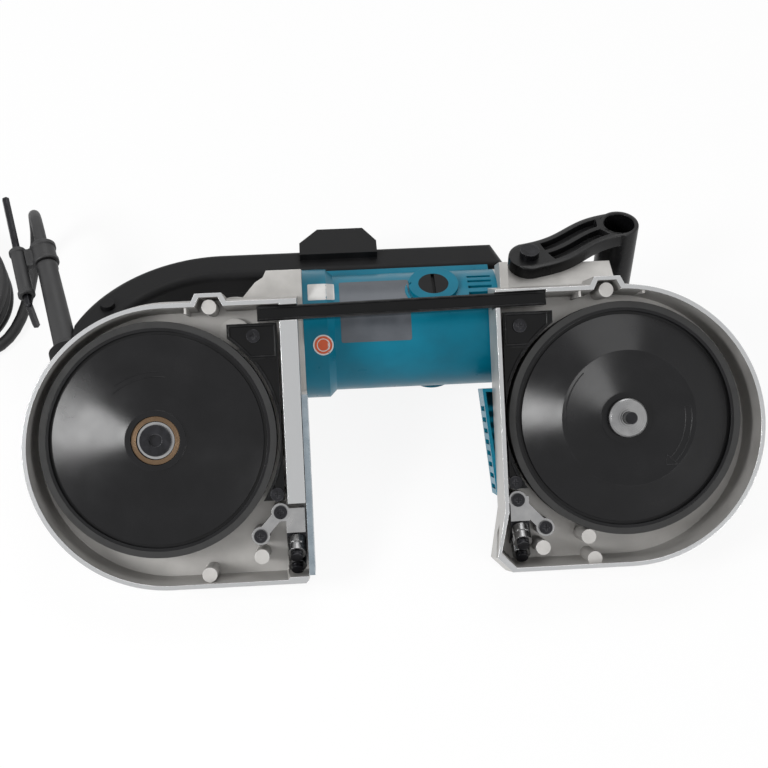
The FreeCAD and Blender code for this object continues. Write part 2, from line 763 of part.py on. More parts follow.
def gear_housing():
    casing = gear_space(GEAR_WALL)
    end = along_x(MOTOR_RADIUS, motor_rear - END_LENGTH, motor_rear)
    sleeve = along_x(face_outer + GEAR_AIR + GEAR_WALL, axis_a[0], motor_rear)
    flange = along_x(MOTOR_FLANGE_RADIUS, motor_rear - MOTOR_FLANGE_CHAMFER, motor_rear)
    low = (motor_v, saddle_v - GAP)
    sides = (motor_w - SADDLE_HALF, motor_w + SADDLE_HALF)
    seat = turned(box((motor_rear - END_LENGTH, motor_rear), low, sides))
    bottom = gear_c_bottom - BUSH_LENGTH - GEAR_WALL
    foot = post(BUSH_RADIUS + GEAR_WALL, axis_b[0], axis_b[1], bottom, gear_c_bottom)
    casing = fuse(casing, end, sleeve, stepped_block(), flange, seat, foot)
    above = box((-half_span - HANDLE_REACH, motor_front), (-wall_below, wall_below), (-FRAME_DEPTH, 0))
    casing = casing.cut(above)
    room = gear_space(0)
    wrist = along_x(face_outer, axis_a[0], motor_rear - BEARING_LENGTH - GEAR_WALL)
    room = room.fuse(wrist)
    bottom = gear_c_bottom
    nest_radius = LOWER_BEARING_RADIUS + GEAR_WALL
    nest = post(nest_radius, axis_c[0], axis_c[1], bottom, bottom + SPINDLE_BEARING_LENGTH)
    heel = post(BUSH_RADIUS + GEAR_WALL, axis_a[0], axis_a[1], gear_a_bottom, gear_a_bottom + BUSH_LENGTH)
    casing = fuse(casing.cut(room), nest, heel)
    holes = [along_x(BEARING_RADIUS, motor_rear - BEARING_LENGTH, motor_rear + OVERRUN)]
    holes.append(along_x(SHAFT_RADIUS + GAP, axis_a[0], motor_rear))
    nest_high = bottom + SPINDLE_BEARING_LENGTH + OVERRUN
    heel_high = gear_a_bottom + BUSH_LENGTH + OVERRUN
    holes.append(post(LOWER_BEARING_RADIUS, axis_c[0], axis_c[1], bottom, nest_high))
    holes.append(post(BUSH_RADIUS, axis_b[0], axis_b[1], bottom - BUSH_LENGTH, bottom + OVERRUN))
    holes.append(post(BUSH_RADIUS, axis_a[0], axis_a[1], gear_a_bottom, heel_high))
    for hole in holes:
        casing = casing.cut(hole)
    return casing


# Motor


def armature_shaft():
    start = axis_a[0] + face_radius - FACE_WIDTH / 2
    pinion = toothed(FIRST_PINION_TEETH, FIRST_MODULE, FACE_WIDTH, 0)
    pinion.rotate(Vector(), Vector(0, 1, 0), HALF_TURN / 2)
    pinion.translate(Vector(start, MOTOR_RISE, -motor_depth))
    neck = along_x(first_radius - TOOTH_DEDENDUM_SHARE * FIRST_MODULE, start, motor_rear - BEARING_LENGTH)
    end = motor_front + BELL_FLANGE + BEARING_LENGTH
    return fuse(pinion, neck, along_x(SHAFT_RADIUS, motor_rear - BEARING_LENGTH - GAP, end))


core_start = motor_rear + CORE_PLACE
brush_x = motor_front - BRUSH_PLACE
commutator_start = brush_x - COMMUTATOR_LENGTH / 2
commutator_end = brush_x + COMMUTATOR_LENGTH / 2
core_end = commutator_start - CORE_CLEAR


def armature_core():
    return ring_x(CORE_RADIUS, SHAFT_RADIUS + FIT, core_start, core_end)


def commutator():
    return ring_x(COMMUTATOR_RADIUS, SHAFT_RADIUS + FIT, commutator_start, commutator_end)


def cooling_fan():
    start = motor_rear + FAN_PLACE
    disc = along_x(FAN_RADIUS, start, start + FAN_PLATE)
    hub = along_x(FAN_HUB_RADIUS, start, start + FAN_LENGTH)
    blades = []
    half = FAN_BLADE_THICKNESS / 2
    for index in range(FAN_BLADES):
        blade = box((start, start + FAN_LENGTH), (FAN_HUB_RADIUS - FAN_PLATE, FAN_RADIUS), (-half, half))
        blade.rotate(Vector(), X_AXIS, index * FULL_TURN / FAN_BLADES)
        blade.translate(Vector(0, MOTOR_RISE, -motor_depth))
        blades.append(blade)
    fan = fuse(disc, hub, *blades)
    return fan.cut(along_x(SHAFT_RADIUS + FIT, start - OVERRUN, start + FAN_LENGTH + OVERRUN))


def field_core():
    return ring_x(MOTOR_RADIUS - MOTOR_WALL - FIT, FIELD_BORE, core_start, core_end)


def field_coils():
    rings = [ring_x(COIL_RADIUS, FIELD_BORE + GAP, core_start - COIL_LENGTH, core_start)]
    rings.append(ring_x(COIL_RADIUS, FIELD_BORE + GAP, core_end, core_end + COIL_LENGTH))
    return group(rings)


def brush_side(direction):
    """Direction across the motor along which a brush slides, and a point on the motor axis."""
    centre = Vector(brush_x, MOTOR_RISE, -motor_depth)
    across = from_cut(0, 0, direction)
    return centre, across


def motor_housing():
    body = along_x(MOTOR_RADIUS, motor_rear, motor_front)
    flange_end = motor_rear + MOTOR_FLANGE_LENGTH
    flange = along_x(MOTOR_FLANGE_RADIUS, motor_rear, flange_end)
    start = Vector(flange_end, MOTOR_RISE, -motor_depth)
    taper = Part.makeCone(MOTOR_FLANGE_RADIUS, MOTOR_RADIUS, MOTOR_FLANGE_CHAMFER, start, X_AXIS)
    sides = (motor_w - SADDLE_HALF, motor_w + SADDLE_HALF)
    saddle = turned(box((motor_rear, motor_front), (motor_v, saddle_v - GAP), sides))
    pieces = [flange, taper, saddle]
    holes = [along_x(MOTOR_RADIUS - MOTOR_WALL, motor_rear - OVERRUN, motor_front + OVERRUN)]
    for direction in (1, -1):
        centre, across = brush_side(direction)
        outer = centre + across * (MOTOR_RADIUS + BRUSH_BOSS_RISE)
        pieces.append(rod(BRUSH_BOSS_RADIUS, centre, outer))
        holes.append(rod(BRUSH_CAP_RADIUS + FIT, centre, outer + across * OVERRUN))
        for index in range(VENT_COUNT):
            offset = (index - (VENT_COUNT - 1) / 2) * VENT_PITCH
            ends = (motor_front - VENT_END - VENT_LENGTH, motor_front - VENT_END)
            tall = (motor_v + offset - VENT_HEIGHT / 2, motor_v + offset + VENT_HEIGHT / 2)
            deep = (motor_w, motor_w + direction * (MOTOR_RADIUS + OVERRUN))
            holes.append(turned(box(ends, tall, deep)))
    body = fuse(body, *pieces)
    for hole in holes:
        body = body.cut(hole)
    return body


def brush_caps():
    caps = []
    for direction in (1, -1):
        centre, across = brush_side(direction)
        outer = MOTOR_RADIUS + BRUSH_BOSS_RISE
        cap = rod(BRUSH_CAP_RADIUS, centre + across * (outer - BRUSH_CAP_THICKNESS), centre + across * outer)
        deep = (motor_w + direction * (outer - BRUSH_SLOT), motor_w + direction * (outer + OVERRUN))
        half = BRUSH_SLOT / 2
        tall = (motor_v - CAP_RADIUS, motor_v + CAP_RADIUS)
        slot = turned(box((brush_x - half, brush_x + half), tall, deep))
        caps.append(cap.cut(slot))
    return group(caps)


def carbon_brushes():
    sticks = []
    half = BRUSH_WIDTH / 2
    wide = (brush_x - half, brush_x + half)
    for direction in (1, -1):
        near = motor_w + direction * (COMMUTATOR_RADIUS + GAP)
        far = motor_w + direction * (MOTOR_RADIUS + BRUSH_BOSS_RISE - BRUSH_CAP_THICKNESS)
        sticks.append(turned(box(wide, (motor_v - half, motor_v + half), (near, far))))
    return group(sticks)


# Frame pans


def pan_outline(side, throat, corner, grow, level):
    """Outline of a pan at one level, grown or shrunk all round."""
    low = -wall_below - grow
    high = wall_above + grow
    inner = throat + grow
    foot = inner + (FRONT_FLARE if side > 0 else 0)
    end = end_radius - wheel_radius - (FRONT_END_CLEAR if side > 0 else REAR_END_CLEAR)

    def place(inward, y):
        return Vector(at(side, inward), y, level)

    start = place(foot, low + corner)
    turning = place(foot - corner, low)
    bottom = place(end, low)
    middle = place(end - end_radius - grow, end_level)
    top = place(end, high)
    last = place(inner, high)
    knee = place(inner, -FLARE_LEVEL)
    edges = [Part.LineSegment(start, turning).toShape(), Part.LineSegment(turning, bottom).toShape()]
    edges.append(Part.Arc(bottom, middle, top).toShape())
    edges.append(Part.LineSegment(top, last).toShape())
    edges.append(Part.LineSegment(last, knee).toShape())
    edges.append(Part.LineSegment(knee, start).toShape())
    return Part.Wire(edges)


def pan_bump(side, share, inset, low, high):
    """The outward bump of the upper wall round a screw boss."""
    middle = at(side, share * wheel_radius)
    base = wall_above - BUMP_FOOT
    crest = wall_above + BUMP_HEIGHT - inset
    foot = BUMP_FOOT - inset
    points = [(middle - foot, base), (middle + foot, base), (middle + foot, wall_above - inset)]
    points += [(middle + BUMP_CREST - inset, crest), (middle - BUMP_CREST + inset, crest)]
    points += [(middle - foot, wall_above - inset)]
    return prism(points, low, high)


def pan_shell(side, throat, corner, ledge, bump):
    """One cast pan: drafted outside, drafted pocket and the bump."""
    near = pan_outline(side, throat, corner, 0, 0)
    far = pan_outline(side, throat - OUTER_DRAFT, corner, OUTER_DRAFT, -FRAME_DEPTH)
    body = Part.makeLoft([near, far], True, True)
    body = body.fuse(pan_bump(side, bump, 0, -FRAME_DEPTH, 0))
    mouth = pan_outline(side, throat - ledge, corner, -WALL_THICKNESS, OVERRUN)
    floor = pan_outline(side, throat - ledge, corner, -WALL_THICKNESS - POCKET_DRAFT, floor_level)
    body = body.cut(Part.makeLoft([mouth, floor], True, True))
    return body.cut(pan_bump(side, bump, WALL_THICKNESS, floor_level, OVERRUN))


def pan_bosses(side, bump, bosses, ribs):
    """Screw bosses, guide posts, guard posts and wall ribs that stand on a pan floor."""
    pieces = []
    base = floor_level - FIT
    places = [(at(side, bump * wheel_radius), wall_above - BUMP_HEIGHT / 2)]
    places += [spot(side, shares) for shares in bosses]
    for x, y in places:
        pieces.append(post(BOSS_RADIUS, x, y, base, -BOSS_DROP))
    for x, y in guide_posts(side):
        pieces.append(post(POST_RADIUS, x, y, base, bracket_level))
    for x, y in guard_posts(side):
        pieces.append(post(BOSS_RADIUS, x, y, base, -GUARD_LEVEL - GUARD_THICKNESS))
    for shares in ribs:
        x, y = spot(side, shares)
        half = RIB_THICKNESS / 2
        reach = RIB_DEPTH + WALL_THICKNESS
        steep = abs(shares[1]) > abs(shares[0])
        across = half if steep else reach
        tall = reach if steep else half
        pieces.append(box((x - across, x + across), (y - tall, y + tall), (base, -RIB_DEPTH)))
    return pieces


def keep_inside(pieces, side, throat, corner, bump):
    """The parts of the pieces that lie inside the pan."""
    near = pan_outline(side, throat, corner, 0, 0)
    far = pan_outline(side, throat, corner, 0, -FRAME_DEPTH)
    limit = Part.makeLoft([near, far], True, True).fuse(pan_bump(side, bump, 0, -FRAME_DEPTH, 0))
    return [piece.common(limit) for piece in pieces]


def screw_holes(places, high):
    """Threaded holes for the screws of a guide or guard."""
    holes = []
    for x, y in places:
        holes.append(post(SCREW_RADIUS + FIT, x, y, high - SCREW_LENGTH, high + OVERRUN))
    return holes


def blade_slot(side, throat):
    """Slanted slot through which the cutting blade leaves a pan."""
    x = at(side, throat)
    half = SLOT_HEIGHT / 2
    tall = (blade_v - SLOT_LENGTH / 2 - OVERRUN, blade_v + SLOT_LENGTH / 2)
    reach = BOSS_RADIUS + REAR_LEDGE
    return turned(box((x - reach, x + reach), tall, (blade_w - half, blade_w + half)))


def cover_box(grow):
    """Room of the blade cover in the walls."""
    ends = (rear_throat_x - COVER_REAR_REACH, front_throat_x + COVER_FRONT_REACH)
    low = wheel_radius + COVER_OFFSET - COVER_HEIGHT / 2 - grow
    return ends, (low, low + COVER_HEIGHT + 2 * grow), (-COVER_LEVEL - COVER_DEPTH, -COVER_LEVEL + grow)


def tilted(shape):
    """A shape of the blade cover, turned by the small tilt that it has."""
    middle = (rear_throat_x + front_throat_x) / 2
    shape.rotate(Vector(middle, wheel_radius + COVER_OFFSET, 0), Z_AXIS, COVER_TILT)
    return shape


def blade_cover():
    ends, tall, deep = cover_box(0)
    body = box(ends, tall, deep)
    room = (tall[0] + COVER_WALL, tall[1] - COVER_WALL)
    longer = (ends[0] - OVERRUN, ends[1] + OVERRUN)
    return tilted(body.cut(box(longer, room, (deep[0] - OVERRUN, deep[1] - COVER_WALL))))


def cover_window():
    """The cut in the throat walls that takes the blade cover."""
    ends, tall, deep = cover_box(GAP)
    return tilted(box(ends, tall, (deep[0], OVERRUN)))


def rear_frame():
    body = pan_shell(-1, rear_throat, REAR_CORNER, REAR_LEDGE, rear_bump_share)
    pieces = pan_bosses(-1, rear_bump_share, rear_boss_shares, rear_rib_shares)
    pieces = keep_inside(pieces, -1, rear_throat, REAR_CORNER, rear_bump_share)
    x, y = axis_c
    base = floor_level - FIT
    pieces.append(post(BEARING_BOSS_RADIUS, x, y, base, floor_level + BUSH_LENGTH))
    pieces.append(post(BUSH_RADIUS + GEAR_WALL, axis_b[0], axis_b[1], base, floor_level + GEAR_WALL))
    pieces.append(post(BUSH_RADIUS + GEAR_WALL, axis_a[0], axis_a[1], base, floor_level + GEAR_WALL))
    body = fuse(body, *pieces)
    window = (rear_throat_x - REAR_LEDGE - 2 * WALL_THICKNESS, rear_throat_x + OVERRUN)
    sill = WALL_THICKNESS + POCKET_DRAFT - wall_below
    holes = [box(window, (sill, -guide_window_top), (floor_level, OVERRUN))]
    holes.append(cover_window())
    low = floor_level + BUSH_LENGTH - SPINDLE_BEARING_LENGTH
    holes.append(post(SPINDLE_BEARING_RADIUS, x, y, low, OVERRUN))
    holes.append(post(SPINDLE_RADIUS + LOOSE, x, y, -FRAME_DEPTH - OVERRUN, OVERRUN))
    for axis in (axis_a, axis_b):
        holes.append(post(BUSH_RADIUS, axis[0], axis[1], -FRAME_DEPTH - OVERRUN, floor_level))
    holes += screw_holes(guide_posts(-1), bracket_level)
    holes += screw_holes(guard_posts(-1), -GUARD_LEVEL - GUARD_THICKNESS)
    holes += stop_bolt_holes()
    for hole in holes:
        body = body.cut(hole)
    return body


def front_frame():
    body = pan_shell(1, front_throat, FRONT_CORNER, 0, front_bump_share)
    pieces = pan_bosses(1, front_bump_share, front_boss_shares, front_rib_shares)
    pieces = keep_inside(pieces, 1, front_throat, FRONT_CORNER, front_bump_share)
    body = fuse(body, *pieces)
    body = fuse(body, end_bell(), lever_pin(), spring_seat(), *slide_rails())
    holes = [cover_window(), blade_slot(1, front_throat)]
    holes += screw_holes(guide_posts(1), bracket_level)
    holes += screw_holes(guard_posts(1), -GUARD_LEVEL - GUARD_THICKNESS)
    wide = AXLE_RADIUS + GAP
    ends = (half_span - wide, half_span + TENSION_TRAVEL + wide)
    holes.append(box(ends, (-wide, wide), (-FRAME_DEPTH - OVERRUN, 0)))
    for hole in holes:
        body = body.cut(hole)
    return body


def end_bell():
    """Bearing end of the motor, with the bosses of the front grip and the block that joins it to the pan."""
    start = motor_front
    bell = along_x(BELL_RADIUS, start, start + BELL_LENGTH)
    flange = along_x(MOTOR_RADIUS, start, start + BELL_FLANGE)
    ends = (start, start + BELL_BLOCK_LENGTH)
    deep = (-FRAME_DEPTH - BELL_BLOCK_DEPTH, -FRAME_DEPTH)
    block = box(ends, (BELL_BLOCK_LOW, BELL_BLOCK_HIGH), deep)
    sides = (MOTOR_RISE - BELL_RADIUS, MOTOR_RISE + BELL_RADIUS)
    web = box((start, start + BELL_LENGTH), sides, (-motor_depth, -FRAME_DEPTH))
    x, v = arm_bolt_place()
    near = GRIP_NEAR - ARM_THICKNESS
    far = FAR_ARM_THICKNESS - GRIP_FAR
    boss = turned(rod(ARM_END_RADIUS, Vector(x, v, far), Vector(x, v, near)))
    bell = fuse(bell, flange, block, web, boss)
    shorter = box((start + BELL_FLANGE, ends[1] + OVERRUN), (0, 2 * motor_v), (-GRIP_FAR - motor_v, far))
    bell = bell.cut(turned(shorter))
    flush = box((start + BELL_FLANGE, ends[1] + OVERRUN), (-motor_v, 2 * motor_v), (near, near + motor_v))
    bell = bell.cut(turned(flush))
    deepest = start + BELL_FLANGE + BEARING_LENGTH + BELL_WALL
    room = along_x(BELL_RADIUS - BELL_WALL, deepest, start + BELL_LENGTH - BELL_WALL)
    bell = bell.cut(room)
    bell = bell.cut(along_x(BEARING_RADIUS, start - OVERRUN, start + BELL_FLANGE + BEARING_LENGTH))
    ends = (Vector(x, v, -GRIP_FAR - OVERRUN), Vector(x, v, GRIP_NEAR + OVERRUN))
    return bell.cut(turned(rod(ARM_BOLT_RADIUS + FIT, ends[0], ends[1])))


def front_cover():
    """Slotted cover behind the throat side of the front frame."""
    start = front_throat_x - COVER_SLANT
    end = front_throat_x + COVER_LENGTH
    points = [(start, COVER_TOP), (end, COVER_TOP), (end, -COVER_BOTTOM), (front_throat_x, -COVER_BOTTOM)]
    back = -FRAME_DEPTH - COVER_BACK
    body = prism(points, back, -FRAME_DEPTH)
    inner = [(start + COVER_SHELL, COVER_TOP - COVER_SHELL), (end - COVER_SHELL, COVER_TOP - COVER_SHELL)]
    low = COVER_SHELL - COVER_BOTTOM
    inner += [(end - COVER_SHELL, low), (front_throat_x + COVER_SHELL, low)]
    body = body.cut(prism(inner, back + COVER_SHELL, OVERRUN))
    for index in range(COVER_SLOTS):
        low = COVER_SLOT_PITCH / 2 - COVER_BOTTOM + index * COVER_SLOT_PITCH
        middle = -FRAME_DEPTH - COVER_BACK / 2
        deep = (middle - COVER_SLOT_DEPTH / 2, middle + COVER_SLOT_DEPTH / 2)
        wide = (start - OVERRUN, front_throat_x + 2 * COVER_SHELL)
        body = body.cut(box(wide, (low, low + COVER_SLOT_HEIGHT), deep))
    passage = (-SPRING_RADIUS - LOOSE, SPRING_RADIUS + LOOSE)
    level = spring_level()
    deep = (level - SPRING_RADIUS - LOOSE, level + SPRING_RADIUS + LOOSE)
    return body.cut(box((end - OVERRUN, end + OVERRUN), passage, deep))


# Blade tension


def slide_low():
    """Level of the far face of the idler slide."""
    return -FRAME_DEPTH - GAP - SLIDE_THICKNESS


def slide_rails():
    """Two rails behind the front pan that lead the idler slide."""
    rails = []
    half = SLIDE_WIDTH / 2 + GAP
    ends = (half_span - SLIDE_LENGTH / 2, half_span + SLIDE_LENGTH / 2 + TENSION_TRAVEL)
    for direction in (1, -1):
        tall = (direction * half, direction * (half + RAIL_WIDTH))
        rails.append(box(ends, tall, (-FRAME_DEPTH - RAIL_DEPTH, -FRAME_DEPTH + FIT)))
    return rails


def idler_slide():
    """Slide plate with the axle of the idler wheel and the lug that the cam holds."""
    low = slide_low()
    half = SLIDE_LENGTH / 2
    wide = SLIDE_WIDTH / 2
    plate = box((half_span - half, half_span + half), (-wide, wide), (low, low + SLIDE_THICKNESS))
    shoulder = DISH_RISE - wheel_depth
    axle = post(AXLE_RADIUS, half_span, 0, low, shoulder)
    stud = post(STUD_RADIUS, half_span, 0, shoulder, shoulder + STUD_LENGTH)
    end = half_span + half
    lug = box((end - LUG_LENGTH, end), (-LUG_WIDTH / 2, LUG_WIDTH / 2), (low - LUG_DEPTH, low))
    start = half_span - half
    seat = box((start, start + LUG_LENGTH), (-LUG_WIDTH / 2, LUG_WIDTH / 2), (low - LUG_DEPTH, low))
    return fuse(plate, axle, stud, lug, seat)


def pivot_place():
    """Axis of the tension lever: at rest its cam holds the lug of the slide towards the throat."""
    return half_span + SLIDE_LENGTH / 2 + LOOSE + CAM_RADIUS + CAM_THROW


def lever_pin():
    """Pin behind the front pan on which the tension lever turns."""
    low = slide_low() - LUG_DEPTH - LEVER_THICKNESS
    return post(PIVOT_RADIUS, pivot_place(), 0, low, -FRAME_DEPTH + FIT)


def tension_lever():
    x = pivot_place()
    high = slide_low()
    low = high - LUG_DEPTH
    cam = post(CAM_RADIUS, x - CAM_THROW, 0, low, high)
    bottom = low - LEVER_THICKNESS
    half = LEVER_WIDTH / 2
    arm = box((x - half, x + half), (0, LEVER_LENGTH - half), (bottom, low))
    tip = post(half, x, LEVER_LENGTH - half, bottom, low)
    hub = post(CAM_RADIUS, x, 0, bottom, low)
    lever = fuse(cam, arm, tip, hub)
    return lever.cut(post(PIVOT_RADIUS + RUN, x, 0, bottom - OVERRUN, high + OVERRUN))


def spring_level():
    """Level of the spring axis, clear of the pan floor."""
    return -FRAME_DEPTH - LOOSE - SPRING_RADIUS


def spring_seat():
    """Lug of the front frame against which the spring pushes."""
    end = half_span - SLIDE_LENGTH / 2 - SPRING_LENGTH
    deep = (spring_level() - SPRING_RADIUS, -FRAME_DEPTH + FIT)
    return box((end - LUG_LENGTH, end), (-LUG_WIDTH / 2, LUG_WIDTH / 2), deep)


def tension_spring():
    start = half_span - SLIDE_LENGTH / 2
    level = spring_level()
    return tube(SPRING_RADIUS, SPRING_BORE, Vector(start - SPRING_LENGTH, 0, level), Vector(start, 0, level))


# Guides, guards and stop


def guide_x(side):
    """Place of a guide along the saw."""
    throat = wheel_radius + REAR_GUIDE_CLEAR if side < 0 else wheel_radius + FRONT_GUIDE_CLEAR
    return at(side, throat)


def guide_posts(side):
    """Places of the two posts of a guide."""
    offsets = [(REAR_POST_BACK, REAR_POST_RISE), (REAR_FOOT_BACK, REAR_FOOT_RISE)]
    if side > 0:
        offsets = [(-FRONT_POST_AHEAD, FRONT_POST_RISE), (FRONT_FOOT_BACK, FRONT_FOOT_RISE)]
    return [(guide_x(side) + side * back, rise - wheel_radius) for back, rise in offsets]


def guard_posts(side):
    """Places of the two screws of a guard."""
    upper = rear_guard_post_share if side < 0 else front_guard_post_share
    foot = rear_guard_foot_share if side < 0 else front_guard_foot_share
    return [spot(side, upper), (at(side, foot * wheel_radius), GUARD_FOOT_RISE - wheel_radius)]


def guide_bracket(side):
    """Sheet bracket with two screw lobes and a tongue over the roller holder."""
    first, second = guide_posts(side)
    high = bracket_level + BRACKET_THICKNESS
    lobes = [post(BRACKET_LOBE, x, y, bracket_level, high) for x, y in (first, second)]
    angle = bearing_angle(first, second)
    across = (BRACKET_LOBE - BRACKET_THICKNESS) * math.sin(angle)
    along = (BRACKET_LOBE - BRACKET_THICKNESS) * math.cos(angle)
    strip = [(first[0] + across, first[1] - along), (second[0] + across, second[1] - along)]
    strip += [(second[0] - across, second[1] + along), (first[0] - across, first[1] + along)]
    middle = guide_x(side)
    half = HOLDER_WIDTH / 2
    edge = -wheel_radius + BRACKET_REACH
    top = first[1] + BRACKET_THICKNESS
    tongue = box((middle - half, middle + half), (edge, top), (bracket_level, high))
    link = box((middle, first[0]), (first[1] - BRACKET_LOBE, top), (bracket_level, high))
    plate = fuse(lobes[0], lobes[1], prism(strip, bracket_level, high), tongue, link)
    for x, y in (first, second):
        plate = plate.cut(post(SCREW_RADIUS + GAP, x, y, bracket_level - OVERRUN, high + OVERRUN))
    return plate


def guide_holders():
    blocks = []
    for side in (-1, 1):
        middle = guide_x(side)
        half = HOLDER_WIDTH / 2
        start = blade_v + ROLLER_LENGTH - ROLLER_LEAD + LOOSE
        tall = (start, start + HOLDER_LENGTH)
        deep = (blade_w - HOLDER_HEIGHT / 2, blade_w + HOLDER_HEIGHT / 2)
        block = turned(box((middle - half, middle + half), tall, deep))
        wide = (middle - 2 * half, middle + 2 * half)
        above = box(wide, (-wall_below, wall_above), (bracket_level, wall_above))
        block = block.cut(above)
        for offset in (roller_offset, -roller_offset):
            end = Vector(middle, start + HOLDER_HOLE_DEPTH, blade_w + offset)
            hole = rod(PIN_RADIUS + FIT, Vector(middle, blade_v, blade_w + offset), end)
            block = block.cut(turned(hole))
        blocks.append(block)
    return group(blocks)


def guide_roller(side, offset):
    """One side roller, with a groove round its middle."""
    middle = guide_x(side)
    low = blade_v - ROLLER_LEAD
    high = low + ROLLER_LENGTH
    w = blade_w + offset
    body = tube(ROLLER_RADIUS, PIN_RADIUS + RUN, Vector(middle, low, w), Vector(middle, high, w))
    waist = (low + high - ROLLER_GROOVE) / 2
    start = Vector(middle, waist, w)
    end = Vector(middle, waist + ROLLER_GROOVE, w)
    groove = tube(ROLLER_RADIUS + OVERRUN, ROLLER_RADIUS - ROLLER_GROOVE_DEPTH, start, end)
    return turned(body.cut(groove))


def roller_pins():
    pins = []
    for side in (-1, 1):
        middle = guide_x(side)
        low = blade_v - ROLLER_LEAD - GAP
        end = low + GAP + ROLLER_LENGTH + LOOSE + HOLDER_HOLE_DEPTH
        for offset in (roller_offset, -roller_offset):
            w = blade_w + offset
            pin = rod(PIN_RADIUS, Vector(middle, low, w), Vector(middle, end, w))
            head = rod(PIN_HEAD_RADIUS, Vector(middle, low - PIN_HEAD_THICKNESS, w), Vector(middle, low, w))
            pins.append(turned(fuse(pin, head)))
    return group(pins)


def screw(x, y, seat):
    """A round headed screw with a cross in its head, standing along z."""
    shank = post(SCREW_RADIUS, x, y, seat - SCREW_LENGTH, seat)
    head = post(HEAD_RADIUS, x, y, seat, seat + HEAD_THICKNESS)
    body = fuse(shank, head)
    half = CROSS_WIDTH / 2
    long = CROSS_LENGTH / 2
    top = (seat + HEAD_THICKNESS - CROSS_DEPTH, seat + HEAD_THICKNESS + OVERRUN)
    body = body.cut(box((x - half, x + half), (y - long, y + long), top))
    return body.cut(box((x - long, x + long), (y - half, y + half), top))


def guide_screws():
    level = bracket_level + BRACKET_THICKNESS
    return group([screw(x, y, level) for side in (-1, 1) for x, y in guide_posts(side)])


def guard_screws():
    pieces = []
    for side in (-1, 1):
        for x, y in guard_posts(side):
            level = TAB_THICKNESS - GUARD_LEVEL if y > 0 else -GUARD_LEVEL
            pieces.append(screw(x, y, level))
    return group(pieces)


def guard(side, throat_face):
    """Plate with a skirt that fills the corner between a wheel and its throat wall."""
    inner = at(side, throat_face)
    outer = at(side, throat_face - GUARD_WIDTH)
    high = -GUARD_LEVEL
    low = high - GUARD_THICKNESS
    plate = box((inner, outer), (-guard_bottom, guard_top), (low, high))
    skirt = box((inner, outer), (-guard_bottom, guard_top), (floor_level, high))
    clear = wheel_radius + GUARD_WHEEL_CLEAR
    middle = at(side, 0)
    skirt = skirt.common(post(clear + GUARD_SKIRT, middle, 0, floor_level, high))
    tab = box((inner, outer), (guard_top - TAB_HEIGHT, guard_top), (high, high + TAB_THICKNESS))
    body = fuse(plate, skirt, tab)
    body = body.cut(post(clear, middle, 0, floor_level - OVERRUN, OVERRUN))
    for x, y in guard_posts(side):
        body = body.cut(post(SCREW_RADIUS + GAP, x, y, low - OVERRUN, OVERRUN))
        body = body.cut(post(BOSS_RADIUS + GAP, x, y, floor_level - OVERRUN, low))
    return body


def rear_guard():
    body = guard(-1, rear_throat - REAR_LEDGE - WALL_THICKNESS - POCKET_DRAFT - GAP)
    high = floor_level + GEAR_WALL + GAP
    return body.cut(post(BUSH_RADIUS + GEAR_WALL + GAP, axis_a[0], axis_a[1], floor_level - OVERRUN, high))


def front_guard():
    return guard(1, front_throat - WALL_THICKNESS - POCKET_DRAFT - GAP)


def stop_bolt_places():
    """Heights of the two bolts of the stop plate."""
    return [STOP_TOP - share * (STOP_TOP + STOP_BOTTOM) for share in stop_bolt_shares]


def stop_bolt_holes():
    """Threaded holes of the stop plate bolts in the ledge of the rear frame."""
    holes = []
    for y in stop_bolt_places():
        start = Vector(rear_throat_x - REAR_LEDGE, y, -STOP_BOLT_DEPTH)
        holes.append(rod(STOP_BOLT_RADIUS + FIT, start, start + X_AXIS * (REAR_LEDGE + OVERRUN)))
    return holes


def stop_seat():
    """Level in the stop plate on which the bolt heads lie, so deep that they stay below its face."""
    return rear_throat_x + STOP_THICKNESS - STOP_HEAD_THICKNESS - GAP


def stop_plate():
    start = rear_throat_x + GAP
    deep = (-STOP_LEVEL - STOP_DEPTH, -STOP_LEVEL)
    plate = box((start, start + STOP_THICKNESS), (-STOP_BOTTOM, STOP_TOP), deep)
    for half, low in ((STOP_BOLT_RADIUS + GAP, start - OVERRUN), (STOP_HEAD_RADIUS + GAP, stop_seat())):
        deep = (-STOP_BOLT_DEPTH - half, -STOP_BOLT_DEPTH + half)
        for y in stop_bolt_places():
            plate = plate.cut(box((low, start + OVERRUN), (y - STOP_TRAVEL - half, y + half), deep))
    return plate


def stop_bolts():
    bolts = []
    under = stop_seat() + GAP
    for y in stop_bolt_places():
        start = Vector(rear_throat_x - REAR_LEDGE, y, -STOP_BOLT_DEPTH)
        seat = Vector(under, y, -STOP_BOLT_DEPTH)
        head = rod(STOP_HEAD_RADIUS, seat, seat + X_AXIS * STOP_HEAD_THICKNESS)
        bolts.append(fuse(rod(STOP_BOLT_RADIUS, start, seat), head))
    return group(bolts)


# Main handle, drawn in the cut frame

handle_back = -half_span - HANDLE_REACH
handle_inner = handle_back + HANDLE_BAR
arc_x = handle_back + GRIP_ARC
arc_v = bar_top_v - GRIP_ARC
diagonal = math.sqrt(1 / 2)
hump_corner = from_cut(0, hump_top_v, hump_far_w)
rest_angle = math.atan2(-FRAME_DEPTH - hump_corner.z, hump_corner.y + wall_below + OUTER_DRAFT)
level_back = Vector(0, math.cos(rest_angle), -math.sin(rest_angle))
lead = (level_back - X_AXIS * LEAD_SLOPE).normalize()
outlet_base = from_cut(handle_back + OUTLET_PLACE, OUTLET_RISE, motor_w)
outlet_end = outlet_base + lead * OUTLET_LENGTH


